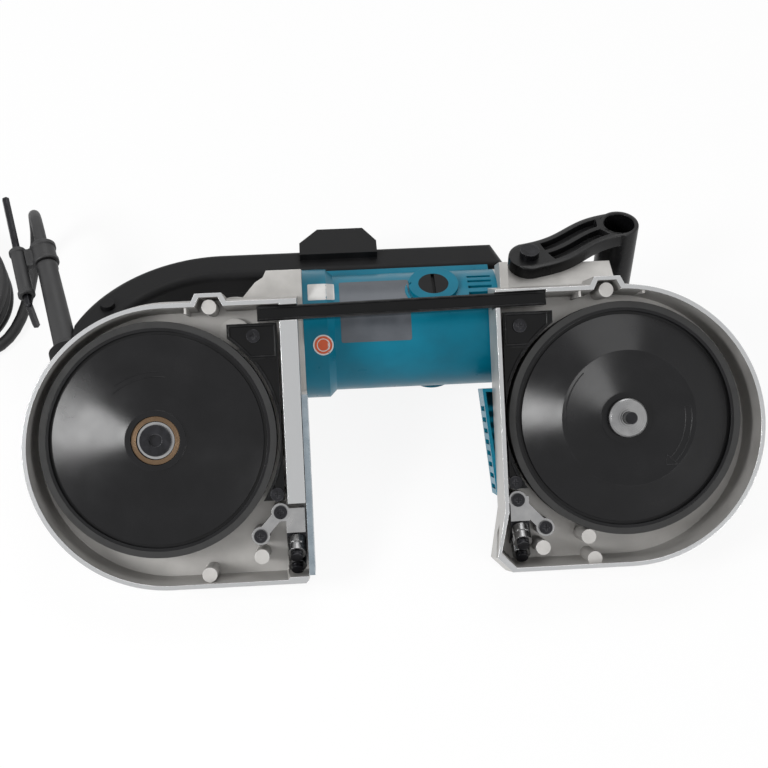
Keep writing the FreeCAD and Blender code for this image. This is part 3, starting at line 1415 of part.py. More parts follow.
def handle_outline(inset):
    """Side view of the handle: the bar over the motor and the rear grip, shrunk by the inset."""
    front = motor_front + BAR_FRONT_REACH - inset
    outer = GRIP_ARC - inset
    inner = GRIP_ARC - HANDLE_BAR + inset
    top = bar_top_v - inset
    bottom = saddle_v + inset

    def place(x, v):
        return Vector(x, v, 0)

    run = [place(front, bottom), place(front - BAR_FRONT_CUT, top), place(arc_x, top)]
    edges = [Part.LineSegment(run[i], run[i + 1]).toShape() for i in range(len(run) - 1)]
    back = place(arc_x - outer, arc_v)
    edges.append(Part.Arc(run[-1], place(arc_x - outer * diagonal, arc_v + outer * diagonal), back).toShape())
    foot = [back, place(arc_x - outer, 0), place(arc_x - inner, 0), place(arc_x - inner, arc_v)]
    edges += [Part.LineSegment(foot[i], foot[i + 1]).toShape() for i in range(len(foot) - 1)]
    under = place(arc_x, bottom)
    crown = place(arc_x - inner * diagonal, arc_v + inner * diagonal)
    edges.append(Part.Arc(foot[-1], crown, under).toShape())
    edges.append(Part.LineSegment(under, run[0]).toShape())
    return Part.Face(Part.Wire(edges))


def handle_slab(inset):
    """The outline given its thickness, shrunk on all sides."""
    half = HANDLE_HALF - inset
    face = handle_outline(inset)
    face.translate(Vector(0, 0, motor_w - half))
    return face.extrude(Vector(0, 0, 2 * half))


def rounded_slab():
    """The full handle with rounded long edges."""
    slab = handle_slab(0)
    chosen = []
    for edge in slab.Edges:
        level = abs(edge.CenterOfMass.z - motor_w)
        flat = abs(edge.BoundBox.ZLength) < FIT
        if flat and level > HANDLE_HALF - FIT:
            chosen.append(edge)
    return slab.makeFillet(HANDLE_ROUND, chosen)


def hump():
    """Rest foot on top of the bar."""
    start = motor_front + BAR_FRONT_REACH - HUMP_START - HUMP_LENGTH
    end = start + HUMP_LENGTH
    base = bar_middle_v
    points = [(start, base), (end, base), (end, bar_top_v), (end - HUMP_FRONT_SLOPE, hump_top_v)]
    points += [(start + HUMP_REAR_SLOPE, hump_top_v), (start, bar_top_v)]
    return prism(points, motor_w - HUMP_FAR, motor_w + HUMP_NEAR)


def trigger_place():
    """Upper end of the trigger on the inner side of the grip."""
    return handle_inner, arc_v + TRIGGER_DROP


def trigger_pin(grow):
    """The pin on which the trigger turns, or its bore when grown."""
    x, v = trigger_place()
    reach = TRIGGER_HALF + TRIGGER_PIN_LENGTH + grow
    radius = TRIGGER_PIN_RADIUS + grow
    return post(radius, x - TRIGGER_TAIL / 2, v - TRIGGER_PIN_DROP, motor_w - reach, motor_w + reach)


def trigger():
    """Trigger with a finger hollow, hung on the pin at its upper end."""
    x, v = trigger_place()
    low = v - TRIGGER_LENGTH
    inner = x - TRIGGER_TAIL
    hollow = (x + TRIGGER_REACH - TRIGGER_NOSE, low + TRIGGER_LENGTH / 2)
    points = [(inner, low), (x + TRIGGER_REACH, low), hollow, (x + TRIGGER_NOSE, v), (inner, v)]
    blade = prism(points, motor_w - TRIGGER_HALF, motor_w + TRIGGER_HALF)
    return turned(fuse(blade, trigger_pin(0)))


def trigger_slot():
    x, v = trigger_place()
    wide = TRIGGER_HALF + GAP
    tall = (v - TRIGGER_LENGTH - TRIGGER_NOSE, v + LOOSE)
    along = (x - TRIGGER_TAIL - TRIGGER_SWING, x + TRIGGER_REACH + OVERRUN)
    return box(along, tall, (motor_w - wide, motor_w + wide))


def on_arc(angle):
    """A place in the middle of the curved grip."""
    reach = GRIP_ARC - HANDLE_BAR / 2
    return arc_x + reach * math.cos(math.radians(angle)), arc_v + reach * math.sin(math.radians(angle))


def switch_body():
    x, v = on_arc(SWITCH_ANGLE)
    radial = (-SWITCH_THICKNESS / 2, SWITCH_THICKNESS / 2)
    half = HANDLE_HALF - HANDLE_WALL
    block = box(radial, (-SWITCH_LENGTH / 2, SWITCH_LENGTH / 2), (motor_w - half, motor_w + half))
    block.rotate(Vector(), Z_AXIS, SWITCH_ANGLE)
    block.translate(Vector(x, v, 0))
    return turned(block)


def button_place():
    """Axis of the lock button, above the trigger."""
    return on_arc(BUTTON_ANGLE)


def lock_button():
    x, v = button_place()
    face = motor_w + HANDLE_HALF
    return turned(rod(BUTTON_RADIUS, Vector(x, v, face - BUTTON_TAIL), Vector(x, v, face + BUTTON_RISE)))


def dial_place():
    """Axis of the speed dial in the bar."""
    return arc_x + DIAL_PLACE - HANDLE_BAR, bar_middle_v


def speed_dial():
    x, v = dial_place()
    face = motor_w - HANDLE_HALF - DIAL_RISE
    dial = rod(DIAL_RADIUS, Vector(x, v, face), Vector(x, v, face + DIAL_THICKNESS))
    for index in range(DIAL_NOTCHES):
        angle = 2 * math.pi * index / DIAL_NOTCHES
        notch = Vector(x + DIAL_RADIUS * math.cos(angle), v + DIAL_RADIUS * math.sin(angle), face - OVERRUN)
        dial = dial.cut(rod(DIAL_NOTCH_RADIUS, notch, notch + Z_AXIS * 2 * OVERRUN))
    return turned(dial)


def handle_screw_places():
    """Axes of the screws that hold the two shells together."""
    places = [(handle_inner - HANDLE_SCREW_INSET, arc_v + HANDLE_SCREW_RISE)]
    places.append((arc_x - HANDLE_SCREW_AFT, bar_middle_v))
    places.append((motor_rear - HANDLE_SCREW_REAR, bar_middle_v))
    places.append((motor_front - HANDLE_SCREW_FRONT, bar_middle_v))
    return places


def handle_screws():
    pieces = []
    seat = motor_w - HANDLE_HALF
    for x, v in handle_screw_places():
        shank = post(SCREW_RADIUS, x, v, seat, seat + HANDLE_SCREW_LENGTH)
        head = post(HEAD_RADIUS, x, v, seat - HEAD_THICKNESS, seat)
        slot = box((x - CROSS_LENGTH / 2, x + CROSS_LENGTH / 2), (v - CROSS_WIDTH / 2, v + CROSS_WIDTH / 2),
                   (seat - HEAD_THICKNESS - OVERRUN, seat - HEAD_THICKNESS + CROSS_DEPTH))
        pieces.append(turned(fuse(shank, head).cut(slot)))
    return group(pieces)


def handle_body():
    """Both handle shells in one piece, hollow, in the tool frame."""
    body = rounded_slab().fuse(hump())
    room = handle_slab(HANDLE_WALL)
    for x, v in handle_screw_places():
        room = room.cut(post(BOSS_RADIUS, x, v, motor_w - HANDLE_HALF, motor_w + HANDLE_HALF))
    x, v = trigger_place()
    sides = (motor_w - HANDLE_HALF, motor_w + HANDLE_HALF)
    room = room.cut(post(BOSS_RADIUS, x - TRIGGER_TAIL / 2, v - TRIGGER_PIN_DROP, sides[0], sides[1]))
    x, v = button_place()
    face = motor_w + HANDLE_HALF
    holes = [trigger_slot(), trigger_pin(GAP)]
    holes.append(rod(BUTTON_RADIUS + GAP, Vector(x, v, face - BUTTON_TAIL), Vector(x, v, face + OVERRUN)))
    x, v = dial_place()
    face = motor_w - HANDLE_HALF
    holes.append(rod(DIAL_RADIUS + GAP, Vector(x, v, face - OVERRUN), Vector(x, v, face + OVERRUN)))
    for hole in holes:
        body = body.cut(hole)
    body = turned(body)
    room = turned(room)
    spout = rod(OUTLET_RADIUS, outlet_base, outlet_end)
    body = body.fuse(spout)
    seat = motor_w - HANDLE_HALF
    for x, v in handle_screw_places():
        body = body.cut(turned(post(SCREW_RADIUS + GAP, x, v, seat - OVERRUN, seat + HANDLE_SCREW_LENGTH)))
    beyond = outlet_end + lead * GUARD_LENGTH
    room = room.cut(rod(OUTLET_RADIUS + HANDLE_WALL, outlet_end, beyond))
    body = body.cut(rod(GUARD_COLLAR_RADIUS + GAP, outlet_end, beyond))
    everywhere = (handle_back - OVERRUN, motor_front)
    tall = (-wall_below, 2 * motor_depth)
    room = room.cut(box(everywhere, tall, (-FRAME_DEPTH - HANDLE_WALL, FRAME_DEPTH)))
    body = body.cut(room)
    body = body.cut(rod(CORD_DIAMETER / 2 + CORD_GAP, outlet_base, outlet_end + lead * OVERRUN))
    body = body.cut(box((handle_back - 2 * OVERRUN, motor_front), tall, (-FRAME_DEPTH, FRAME_DEPTH)))
    return body.cut(gear_space(GEAR_WALL + GAP))


def half_space(low, high):
    """A thick slab across the handle, between two levels of the cut frame."""
    reach = 2 * half_span
    return turned(box((-reach, reach), (-reach, reach), (low, high)))


def handle_shells():
    body = handle_body()
    reach = 2 * half_span
    near = body.common(half_space(motor_w, reach))
    far = body.common(half_space(-reach, motor_w))
    return near, far


# Front grip, drawn in the cut frame


def arm_bolt_place():
    return front_throat_x + ARM_BOLT_PLACE, motor_v + ARM_BOLT_RISE


def grip_place():
    return half_span + GRIP_PLACE, motor_v + GRIP_RISE


def arm_plate(low, high):
    """One arm of the front grip: a tapered plate between its bolt and the grip bar."""
    start = arm_bolt_place()
    end = grip_place()
    angle = bearing_angle(start, end)
    sine = math.sin(angle)
    cosine = math.cos(angle)
    points = [(start[0] + ARM_END_RADIUS * sine, start[1] - ARM_END_RADIUS * cosine)]
    points.append((end[0] + GRIP_RADIUS * sine, end[1] - GRIP_RADIUS * cosine))
    points.append((end[0] - GRIP_RADIUS * sine, end[1] + GRIP_RADIUS * cosine))
    points.append((start[0] - ARM_END_RADIUS * sine, start[1] + ARM_END_RADIUS * cosine))
    head = post(ARM_END_RADIUS, start[0], start[1], low, high)
    return fuse(prism(points, low, high), head, post(GRIP_RADIUS, end[0], end[1], low, high))


def arm_pockets():
    """Two long hollows in the near face of the near arm."""
    start = arm_bolt_place()
    end = grip_place()
    angle = bearing_angle(start, end)
    sine = math.sin(angle)
    cosine = math.cos(angle)
    deep = (GRIP_NEAR - ARM_POCKET_DEPTH, GRIP_NEAR + OVERRUN)
    pockets = []
    for offset in (ARM_POCKET_OFFSET, -ARM_POCKET_OFFSET):
        ends = []
        for share in (arm_pocket_start_share, arm_pocket_end_share):
            x = start[0] + share * (end[0] - start[0]) - offset * sine
            ends.append((x, start[1] + share * (end[1] - start[1]) + offset * cosine))
        sides = (ARM_POCKET_HALF * sine, ARM_POCKET_HALF * cosine)
        points = [(x + sides[0], v - sides[1]) for x, v in ends]
        points += [(x - sides[0], v + sides[1]) for x, v in reversed(ends)]
        pockets.append(prism(points, deep[0], deep[1]))
        for x, v in ends:
            pockets.append(post(ARM_POCKET_HALF, x, v, deep[0], deep[1]))
    return pockets


def front_grip():
    x, v = grip_place()
    bar = post(GRIP_RADIUS, x, v, -GRIP_FAR, GRIP_NEAR)
    near = arm_plate(GRIP_NEAR - ARM_THICKNESS, GRIP_NEAR)
    far = arm_plate(-GRIP_FAR, -GRIP_FAR + FAR_ARM_THICKNESS)
    body = fuse(bar, near, far)
    for pocket in arm_pockets():
        body = body.cut(pocket)
    body = body.cut(post(GRIP_BORE, x, v, GRIP_NEAR - GRIP_BORE_DEPTH, GRIP_NEAR + OVERRUN))
    x, v = arm_bolt_place()
    body = body.cut(post(ARM_BOLT_RADIUS + GAP, x, v, -GRIP_FAR - OVERRUN, GRIP_NEAR + OVERRUN))
    return turned(body)


def grip_bolts():
    x, v = arm_bolt_place()
    bolts = []
    for face, way in ((GRIP_NEAR, 1), (-GRIP_FAR, -1)):
        shank = post(ARM_BOLT_RADIUS, x, v, face - way * ARM_BOLT_LENGTH, face)
        head = post(ARM_HEAD_RADIUS, x, v, face, face + way * ARM_HEAD_THICKNESS)
        bolts.append(turned(fuse(shank, head)))
    return group(bolts)


# The saw laid on the table: the lower edges of the pans and the rest foot touch it


def laid(shape):
    """A shape of the tool frame, turned to lie on its back."""
    copy = shape.copy()
    copy.rotate(Vector(), X_AXIS, math.degrees(rest_angle))
    return copy


saw = {
    "rear_frame": rear_frame(),
    "gear_housing": gear_housing(),
    "front_frame": front_frame(),
    "motor_housing": motor_housing(),
    "front_cover": front_cover(),
    "field_core": field_core(),
    "field_coils": field_coils(),
    "carbon_brushes": carbon_brushes(),
    "brush_caps": brush_caps(),
    "shaft_bearings": shaft_bearings(),
    "switch_body": switch_body(),
    "front_grip": front_grip(),
    "grip_bolts": grip_bolts(),
    "handle_screws": handle_screws(),
    "blade_cover": blade_cover(),
    "rear_guard": rear_guard(),
    "front_guard": front_guard(),
    "rear_guide_bracket": guide_bracket(-1),
    "front_guide_bracket": guide_bracket(1),
    "guide_holders": guide_holders(),
    "roller_pins": roller_pins(),
    "guide_screws": guide_screws(),
    "guard_screws": guard_screws(),
    "stop_bolts": stop_bolts(),
    "stop_plate": stop_plate(),
    "armature_shaft": armature_shaft(),
    "armature_core": armature_core(),
    "commutator": commutator(),
    "cooling_fan": cooling_fan(),
    "first_gear": first_gear(),
    "second_gear": second_gear(),
    "drive_gear": drive_gear(),
    "spindle": spindle(),
    "drive_wheel": drive_wheel(),
    "drive_tyre": tyre(-1),
    "hub_washer": hub_washer(),
    "hub_cap": hub_cap(),
    "idler_slide": idler_slide(),
    "tension_spring": tension_spring(),
    "idler_collar": idler_collar(),
    "idler_wheel": idler_wheel(),
    "idler_tyre": tyre(1),
    "idler_bearings": idler_bearings(),
    "tension_lever": tension_lever(),
    "trigger": trigger(),
    "lock_button": lock_button(),
    "speed_dial": speed_dial(),
    "rear_roller_upper": guide_roller(-1, roller_offset),
    "rear_roller_lower": guide_roller(-1, -roller_offset),
    "front_roller_upper": guide_roller(1, roller_offset),
    "front_roller_lower": guide_roller(1, -roller_offset),
}
saw["handle_shell_near"], saw["handle_shell_far"] = handle_shells()

outermost = ("rear_frame", "front_frame", "handle_shell_near", "handle_shell_far", "front_grip")
extent = laid(group([saw[name] for name in outermost])).optimalBoundingBox(False, False)
shift = Vector(-(extent.XMin + extent.XMax) / 2, -(extent.YMin + extent.YMax) / 2, -extent.ZMin)


def on_table(shape):
    """A shape of the tool frame at its place on the table."""
    copy = laid(shape)
    copy.translate(shift)
    return copy


def table_point(point):
    """A point of the tool frame at its place on the table."""
    return FreeCAD.Rotation(X_AXIS, math.degrees(rest_angle)).multVec(point) + shift


# Cord, drawn in the frame of the table

cord_radius = CORD_DIAMETER / 2
outlet = table_point(outlet_end)
lead_way = Vector(-LEAD_SLOPE, 1, 0).normalize()


def arc_edge(start, knee, end):
    """Arc that touches both equal legs of a knee."""
    middle = (start + end) / 2
    toward = knee - middle
    if toward.Length < FIT ** 2:
        return Part.LineSegment(start, end).toShape()
    leg = (knee - start).Length
    half = (end - start).Length / 2
    radius = half * leg / toward.Length
    sag = radius * (1 - half / leg)
    return Part.Arc(start, middle + toward.normalize() * sag, end).toShape()


def biarc(start, start_way, end, end_way):
    """Two arcs that join two points and keep both directions."""
    gap = end - start
    both = start_way + end_way
    bend = 2 * (1 - start_way.dot(end_way))
    push = gap.dot(both)
    leg = gap.dot(gap) / (push + math.sqrt(push ** 2 + bend * gap.dot(gap)))
    first = start + start_way * leg
    second = end - end_way * leg
    joint = (first + second) / 2
    return [arc_edge(start, first, joint), arc_edge(joint, second, end)]


def sweep(edges, radius, way):
    """One unbroken round tube along joined lines and arcs, and its length."""
    start = edges[0].valueAt(edges[0].FirstParameter)
    ring = Part.Wire(Part.makeCircle(radius, start, way))
    faces = [Part.Face(ring)]
    for edge in edges:
        side = ring.Edges[0]
        ring = ring.copy()
        if isinstance(edge.Curve, Part.Circle):
            angle = math.degrees(edge.LastParameter - edge.FirstParameter)
            faces.append(side.revolve(edge.Curve.Center, edge.Curve.Axis, angle))
            ring.rotate(edge.Curve.Center, edge.Curve.Axis, angle)
        else:
            along = edge.valueAt(edge.LastParameter) - edge.valueAt(edge.FirstParameter)
            faces.append(side.extrude(along))
            ring.translate(along)
    faces.append(Part.Face(ring))
    shell = Part.makeCompound(faces)
    shell.sewShape()
    solid = Part.makeSolid(Part.Shell(shell.Faces))
    if solid.Volume < 0:
        solid.reverse()
    return solid, sum(edge.Length for edge in edges)


def route_edges(points):
    """Straight runs with a tangent arc at every corner."""
    edges = []
    last = points[0]
    for index in range(1, len(points) - 1):
        before = points[index - 1] - points[index]
        after = points[index + 1] - points[index]
        half = (math.pi - before.getAngle(after)) / 2
        reach = corner_share * min(before.Length, after.Length)
        print("cord bend radius", round(reach / math.tan(half), 1))
        start = points[index] + before.normalize() * reach
        end = points[index] + after.normalize() * reach
        edges.append(Part.LineSegment(last, start).toShape())
        edges.append(arc_edge(start, points[index], end))
        last = end
    edges.append(Part.LineSegment(last, points[-1]).toShape())
    return edges


def coil_state(travel):
    """Reach and height of the coil after some degrees of winding: in, up, out and up again."""
    reach = COIL_REACH
    height = cord_radius
    for start, out, up in coil_moves:
        share = min(max((travel - start) / COIL_SHIFT, 0), 1)
        eased = share * share * (3 - 2 * share)
        reach += out * eased * COIL_PITCH
        height += up * eased * COIL_PITCH
    return reach, height


def coil_point(travel):
    reach, height = coil_state(travel)
    angle = math.radians(COIL_START - travel)
    return Vector(COIL_X + reach * math.cos(angle), COIL_Y + reach * math.sin(angle), height)


def coil_way(travel):
    """Direction of the winding."""
    tiny = FIT
    return (coil_point(travel + tiny) - coil_point(travel - tiny)).normalize()


def coil_join():
    """Point where the cord meets the coil."""
    return coil_point(0) - coil_way(0) * COIL_LEAD


def tail_end():
    """Point on the table where the plug takes the cord."""
    last = coil_point(COIL_TRAVEL)
    return Vector(last.x, last.y + TAIL_LENGTH, PLUG_RADIUS)


def coil_gap(count):
    """Least air between neighbouring loops, on points along the winding."""
    points = [coil_point(index * COIL_TRAVEL / count) for index in range(count + 1)]
    apart = int(count * HALF_TURN / COIL_TRAVEL)
    least = points[0].distanceToPoint(points[-1])
    for index, point in enumerate(points):
        for other in points[index + apart:]:
            least = min(least, point.distanceToPoint(other))
    return least - CORD_DIAMETER


def cord_coil():
    count = int(round(COIL_TRAVEL / COIL_STEP))
    step = COIL_TRAVEL / count
    edges = [Part.LineSegment(coil_join(), coil_point(0)).toShape()]
    for index in range(count):
        start = index * step
        end = start + step
        edges += biarc(coil_point(start), coil_way(start), coil_point(end), coil_way(end))
    last = coil_way(COIL_TRAVEL)
    edges += biarc(coil_point(COIL_TRAVEL), last, tail_end(), Vector(0, 1, 0))
    solid, length = sweep(edges, cord_radius, coil_way(0))
    print("coil gap", round(coil_gap(4 * count), 2), "length", round(length))
    return solid


def cord_points():
    """Corners of the cord from the handle to the coil: along, down, back and round."""
    bend = outlet + lead_way * LEAD_BEND
    fold = outlet + lead_way * LEAD_END - Vector(0, 0, LEAD_SAG)
    below = Vector(fold.x - FOLD_ASIDE, fold.y - FOLD_BACK, cord_radius)
    join = coil_join()
    return [outlet - lead_way * LEAD_START, bend, fold, below, join - coil_way(0) * JOIN_RUN, join]


def cord():
    solid, length = sweep(route_edges(cord_points()), cord_radius, lead_way)
    print("cord length", round(length))
    return solid


def cord_guard():
    """Tapered rubber guard at the handle."""
    collar = rod(GUARD_COLLAR_RADIUS, outlet, outlet + lead_way * GUARD_COLLAR_LENGTH)
    sleeve = Part.makeCone(GUARD_BASE_RADIUS, GUARD_TIP_RADIUS, GUARD_LENGTH, outlet, lead_way)
    beyond = outlet + lead_way * (GUARD_LENGTH + OVERRUN)
    bore = rod(cord_radius + CORD_GAP, outlet - lead_way * OVERRUN, beyond)
    return fuse(collar, sleeve).cut(bore)


holder_middle = outlet + lead_way * HOLDER_PLACE - Vector(0, 0, LEAD_SAG / 2)
aside = Vector(-lead_way.y, lead_way.x, 0)
key_middle = holder_middle + aside * KEY_OFFSET - lead_way * KEY_SLEEVE_DROP
key_foot = key_middle - lead_way * (KEY_SLEEVE_LENGTH / 2 + KEY_TAIL)


def key_holder():
    """Rubber clip on the cord with a sleeve for the hex key."""
    half = lead_way * (CORD_SLEEVE_LENGTH / 2)
    reach = lead_way * (KEY_SLEEVE_LENGTH / 2)
    on_cord = rod(CORD_SLEEVE_RADIUS, holder_middle - half, holder_middle + half)
    for_key = rod(KEY_SLEEVE_RADIUS, key_middle - reach, key_middle + reach)
    wide = (-CORD_SLEEVE_LENGTH / 2, CORD_SLEEVE_LENGTH / 2)
    web = box((0, KEY_OFFSET), wide, (-HOLDER_WEB / 2, HOLDER_WEB / 2))
    web.rotate(Vector(), Z_AXIS, math.degrees(math.atan2(aside.y, aside.x)))
    web.translate(holder_middle)
    body = fuse(on_cord, for_key, web)
    body = body.cut(rod(cord_radius + CORD_GAP, holder_middle - half * 2, holder_middle + half * 2))
    return body.cut(rod(KEY_FLATS / math.sqrt(3) + GAP, key_middle - reach * 2, key_middle + reach * 2))


def hex_bar(start, end):
    """Hexagonal bar between two points."""
    along = end - start
    corner = KEY_FLATS / math.sqrt(3)
    points = []
    for index in range(6):
        angle = index * math.pi / 3
        points.append((corner * math.cos(angle), corner * math.sin(angle)))
    bar = prism(points, 0, along.Length)
    bar.Placement = FreeCAD.Placement(start, FreeCAD.Rotation(Z_AXIS, along))
    return bar


def hex_key():
    """Hex key: long leg in the sleeve, short leg down towards the table."""
    short = Vector(0, 0, -KEY_SHORT)
    knee = Part.makeSphere(KEY_FLATS / 2, key_foot)
    long_leg = hex_bar(key_foot, key_foot + lead_way * KEY_LENGTH)
    return fuse(long_leg, hex_bar(key_foot, key_foot + short), knee)


def plug_body():
    start = tail_end()
    way = Vector(0, 1, 0)
    neck = Part.makeCone(PLUG_NECK_RADIUS, PLUG_RADIUS - LOOSE, PLUG_NECK_LENGTH, start, way)
    body = rod(PLUG_RADIUS, start + way * PLUG_NECK_LENGTH, start + way * (PLUG_NECK_LENGTH + PLUG_LENGTH))
    return fuse(neck, body)


def plug_pins():
    base = tail_end() + Vector(0, PLUG_NECK_LENGTH + PLUG_LENGTH, 0)
    pins = []
    for offset in (-PLUG_PIN_SPREAD, PLUG_PIN_SPREAD):
        start = base + Vector(offset, 0, 0)
        pins.append(rod(PLUG_PIN_RADIUS, start, start + Vector(0, PLUG_PIN_LENGTH, 0)))
    return group(pins)


nodes = {name: on_table(shape) for name, shape in saw.items()}
nodes["cord_guard"] = cord_guard()
nodes["cord"] = cord()
nodes["cord_coil"] = cord_coil()
nodes["key_holder"] = key_holder()
nodes["hex_key"] = hex_key()
nodes["plug_body"] = plug_body()
nodes["plug_pins"] = plug_pins()

for name, shape in nodes.items():
    shape.exportStep("parts/" + name + ".step")
print("rest angle", round(math.degrees(rest_angle), 2), "nodes", len(nodes))
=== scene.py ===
"""Dressed model of a corded portable band saw that lies on its back with the wheels up."""

import json
import logging
import math
from dataclasses import dataclass, field
from enum import Enum
from typing import Any, Callable, Sequence

import bmesh
import bpy
from bmesh.types import BMesh, BMVert
from bpy.types import ID, Material, Node, NodeSocket, NodeTree, Object, World
from mathutils import Matrix, Vector
from mathutils.bvhtree import BVHTree

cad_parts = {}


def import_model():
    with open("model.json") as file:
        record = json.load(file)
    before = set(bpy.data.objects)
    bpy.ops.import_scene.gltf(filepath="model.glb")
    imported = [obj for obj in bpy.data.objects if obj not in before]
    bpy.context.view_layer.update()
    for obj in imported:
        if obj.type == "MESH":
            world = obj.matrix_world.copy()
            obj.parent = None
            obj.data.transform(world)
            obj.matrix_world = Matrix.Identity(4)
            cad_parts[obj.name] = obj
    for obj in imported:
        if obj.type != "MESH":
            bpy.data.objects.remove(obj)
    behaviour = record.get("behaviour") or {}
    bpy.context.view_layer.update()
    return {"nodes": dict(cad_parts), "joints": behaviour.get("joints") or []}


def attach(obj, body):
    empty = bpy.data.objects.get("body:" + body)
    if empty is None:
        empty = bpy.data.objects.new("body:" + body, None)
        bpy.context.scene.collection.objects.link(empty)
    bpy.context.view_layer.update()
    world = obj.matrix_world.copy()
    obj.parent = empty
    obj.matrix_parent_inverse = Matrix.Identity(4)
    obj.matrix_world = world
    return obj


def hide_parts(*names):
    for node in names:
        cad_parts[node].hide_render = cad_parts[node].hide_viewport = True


LOG = logging.getLogger("band_saw")
MM = 0.001
IMAGE_SIDE = 768.0
FRAME_BODY = "frame"
WHITE = (1.0, 1.0, 1.0, 1.0)
ALONG = Vector((1.0, 0.0, 0.0))
UP = Vector((0.0, 0.0, 1.0))
# Half the distance between the wheels, in millimetres.
HALF_SPAN = 159.35

Pair = tuple[float, float]
Triple = tuple[float, float, float]
Spot = tuple[Vector, Vector]
Lay = Callable[[float, float], Spot]


def linear(code: str) -> tuple[float, float, float, float]:
    """Turns an sRGB hex value into linear colour.

    Args:
        code: Six hex digits.

    Returns:
        Red, green, blue and an alpha of one.
    """
    parts = [int(code[i:i + 2], 16) / 255.0 for i in (0, 2, 4)]
    tones = [p / 12.92 if p <= 0.04045 else ((p + 0.055) / 1.055) ** 2.4 for p in parts]
    return tones[0], tones[1], tones[2], 1.0


def add_node(tree: NodeTree, kind: str, inputs: dict[Any, Any] | None = None, **settings: Any) -> Node:
    """Adds one node, sets it up and links it.

    Args:
        tree: Node tree of a material or the world.
        kind: Blender's name of the node type.
        inputs: Socket name or number to a value or to the socket that feeds it.
        **settings: Attributes of the node.

    Returns:
        The new node.
    """
    node = tree.nodes.new(kind)
    for name, value in settings.items():
        setattr(node, name, value)
    for key, value in (inputs or {}).items():
        if isinstance(value, NodeSocket):
            tree.links.new(value, node.inputs[key])
        else:
            node.inputs[key].default_value = value
    return node


def empty_tree(owner: Material | World) -> NodeTree:
    """Clears the nodes of a material or the world.

    Args:
        owner: The material or the world.

    Returns:
        Its node tree, with nothing in it.
    """
    owner.use_nodes = True
    owner.node_tree.nodes.clear()
    return owner.node_tree


def link_object(name: str, data: ID) -> Object:
    """Puts a mesh, curve, lamp or camera into the scene.

    Args:
        name: Name of the object.
        data: What it shows.

    Returns:
        The object.
    """
    obj = bpy.data.objects.new(name, data)
    bpy.context.scene.collection.objects.link(obj)
    return obj


@dataclass
class ToolFrame:
    """The saw's own axes on the table, read from the joints of its two wheels.

    x runs from the drive wheel to the idler wheel, y from the cut towards the motor and z out of the wheel
    side, with zero at the rim of the frame.
    """

    wheel_depth: float = 15.0
    origin: Vector = field(default_factory=Vector)
    y_axis: Vector = field(default_factory=Vector)
    z_axis: Vector = field(default_factory=Vector)

    def read(self, joints: Sequence[dict[str, Any]]) -> "ToolFrame":
        """Takes the axes from the joints.

        Args:
            joints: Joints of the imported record.

        Returns:
            This frame.
        """
        found = {joint["name"]: joint for joint in joints}
        rear = Vector(found["drive_wheel_spin"]["pos_m"])
        front = Vector(found["idler_wheel_spin"]["pos_m"])
        self.z_axis = Vector(found["drive_wheel_spin"]["axis"]).normalized()
        self.y_axis = self.z_axis.cross(ALONG).normalized()
        self.origin = (rear + front) / 2.0 + self.z_axis * self.wheel_depth * MM
        return self

    def point(self, x: float, y: float, z: float) -> Vector:
        """Place on the table of a point given in millimetres of the saw."""
        return self.origin + Vector((x * MM, 0.0, 0.0)) + self.y_axis * y * MM + self.z_axis * z * MM

    def way(self, x: float, y: float, z: float) -> Vector:
        """Direction on the table of a direction of the saw."""
        return (ALONG * x + self.y_axis * y + self.z_axis * z).normalized()


def basis(place: Vector, right: Vector, up: Vector) -> Matrix:
    """A placing matrix.

    Args:
        place: Where the local origin goes.
        right: Direction of the local x axis.
        up: Direction of the local z axis.

    Returns:
        The matrix.
    """
    z = up.normalized()
    x = (right - z * right.dot(z)).normalized()
    y = z.cross(x)
    rows = [[x[i], y[i], z[i], place[i]] for i in range(3)]
    return Matrix(rows + [[0.0, 0.0, 0.0, 1.0]])


# Finishes

# Rays of each rounded edge.
BEVEL_SAMPLES = 4
# How smooth the noise of clouds and grain is, and where in its range the clouds begin and are full.
NOISE_ROUGHNESS = 0.55
CLOUD_SPAN = (0.3, 0.7)
# Where rubbing begins and is full: cosine between rounded and flat normal, and value of the clouds.
EDGE_SPAN = (0.985, 0.86)
BREAK_SPAN = (0.38, 0.62)


@dataclass
class Layers:
    """What feeds the surface shader of a material."""

    where: NodeSocket
    patch: NodeSocket
    colour: Any
    rough: Any
    metal: Any
    height: Any


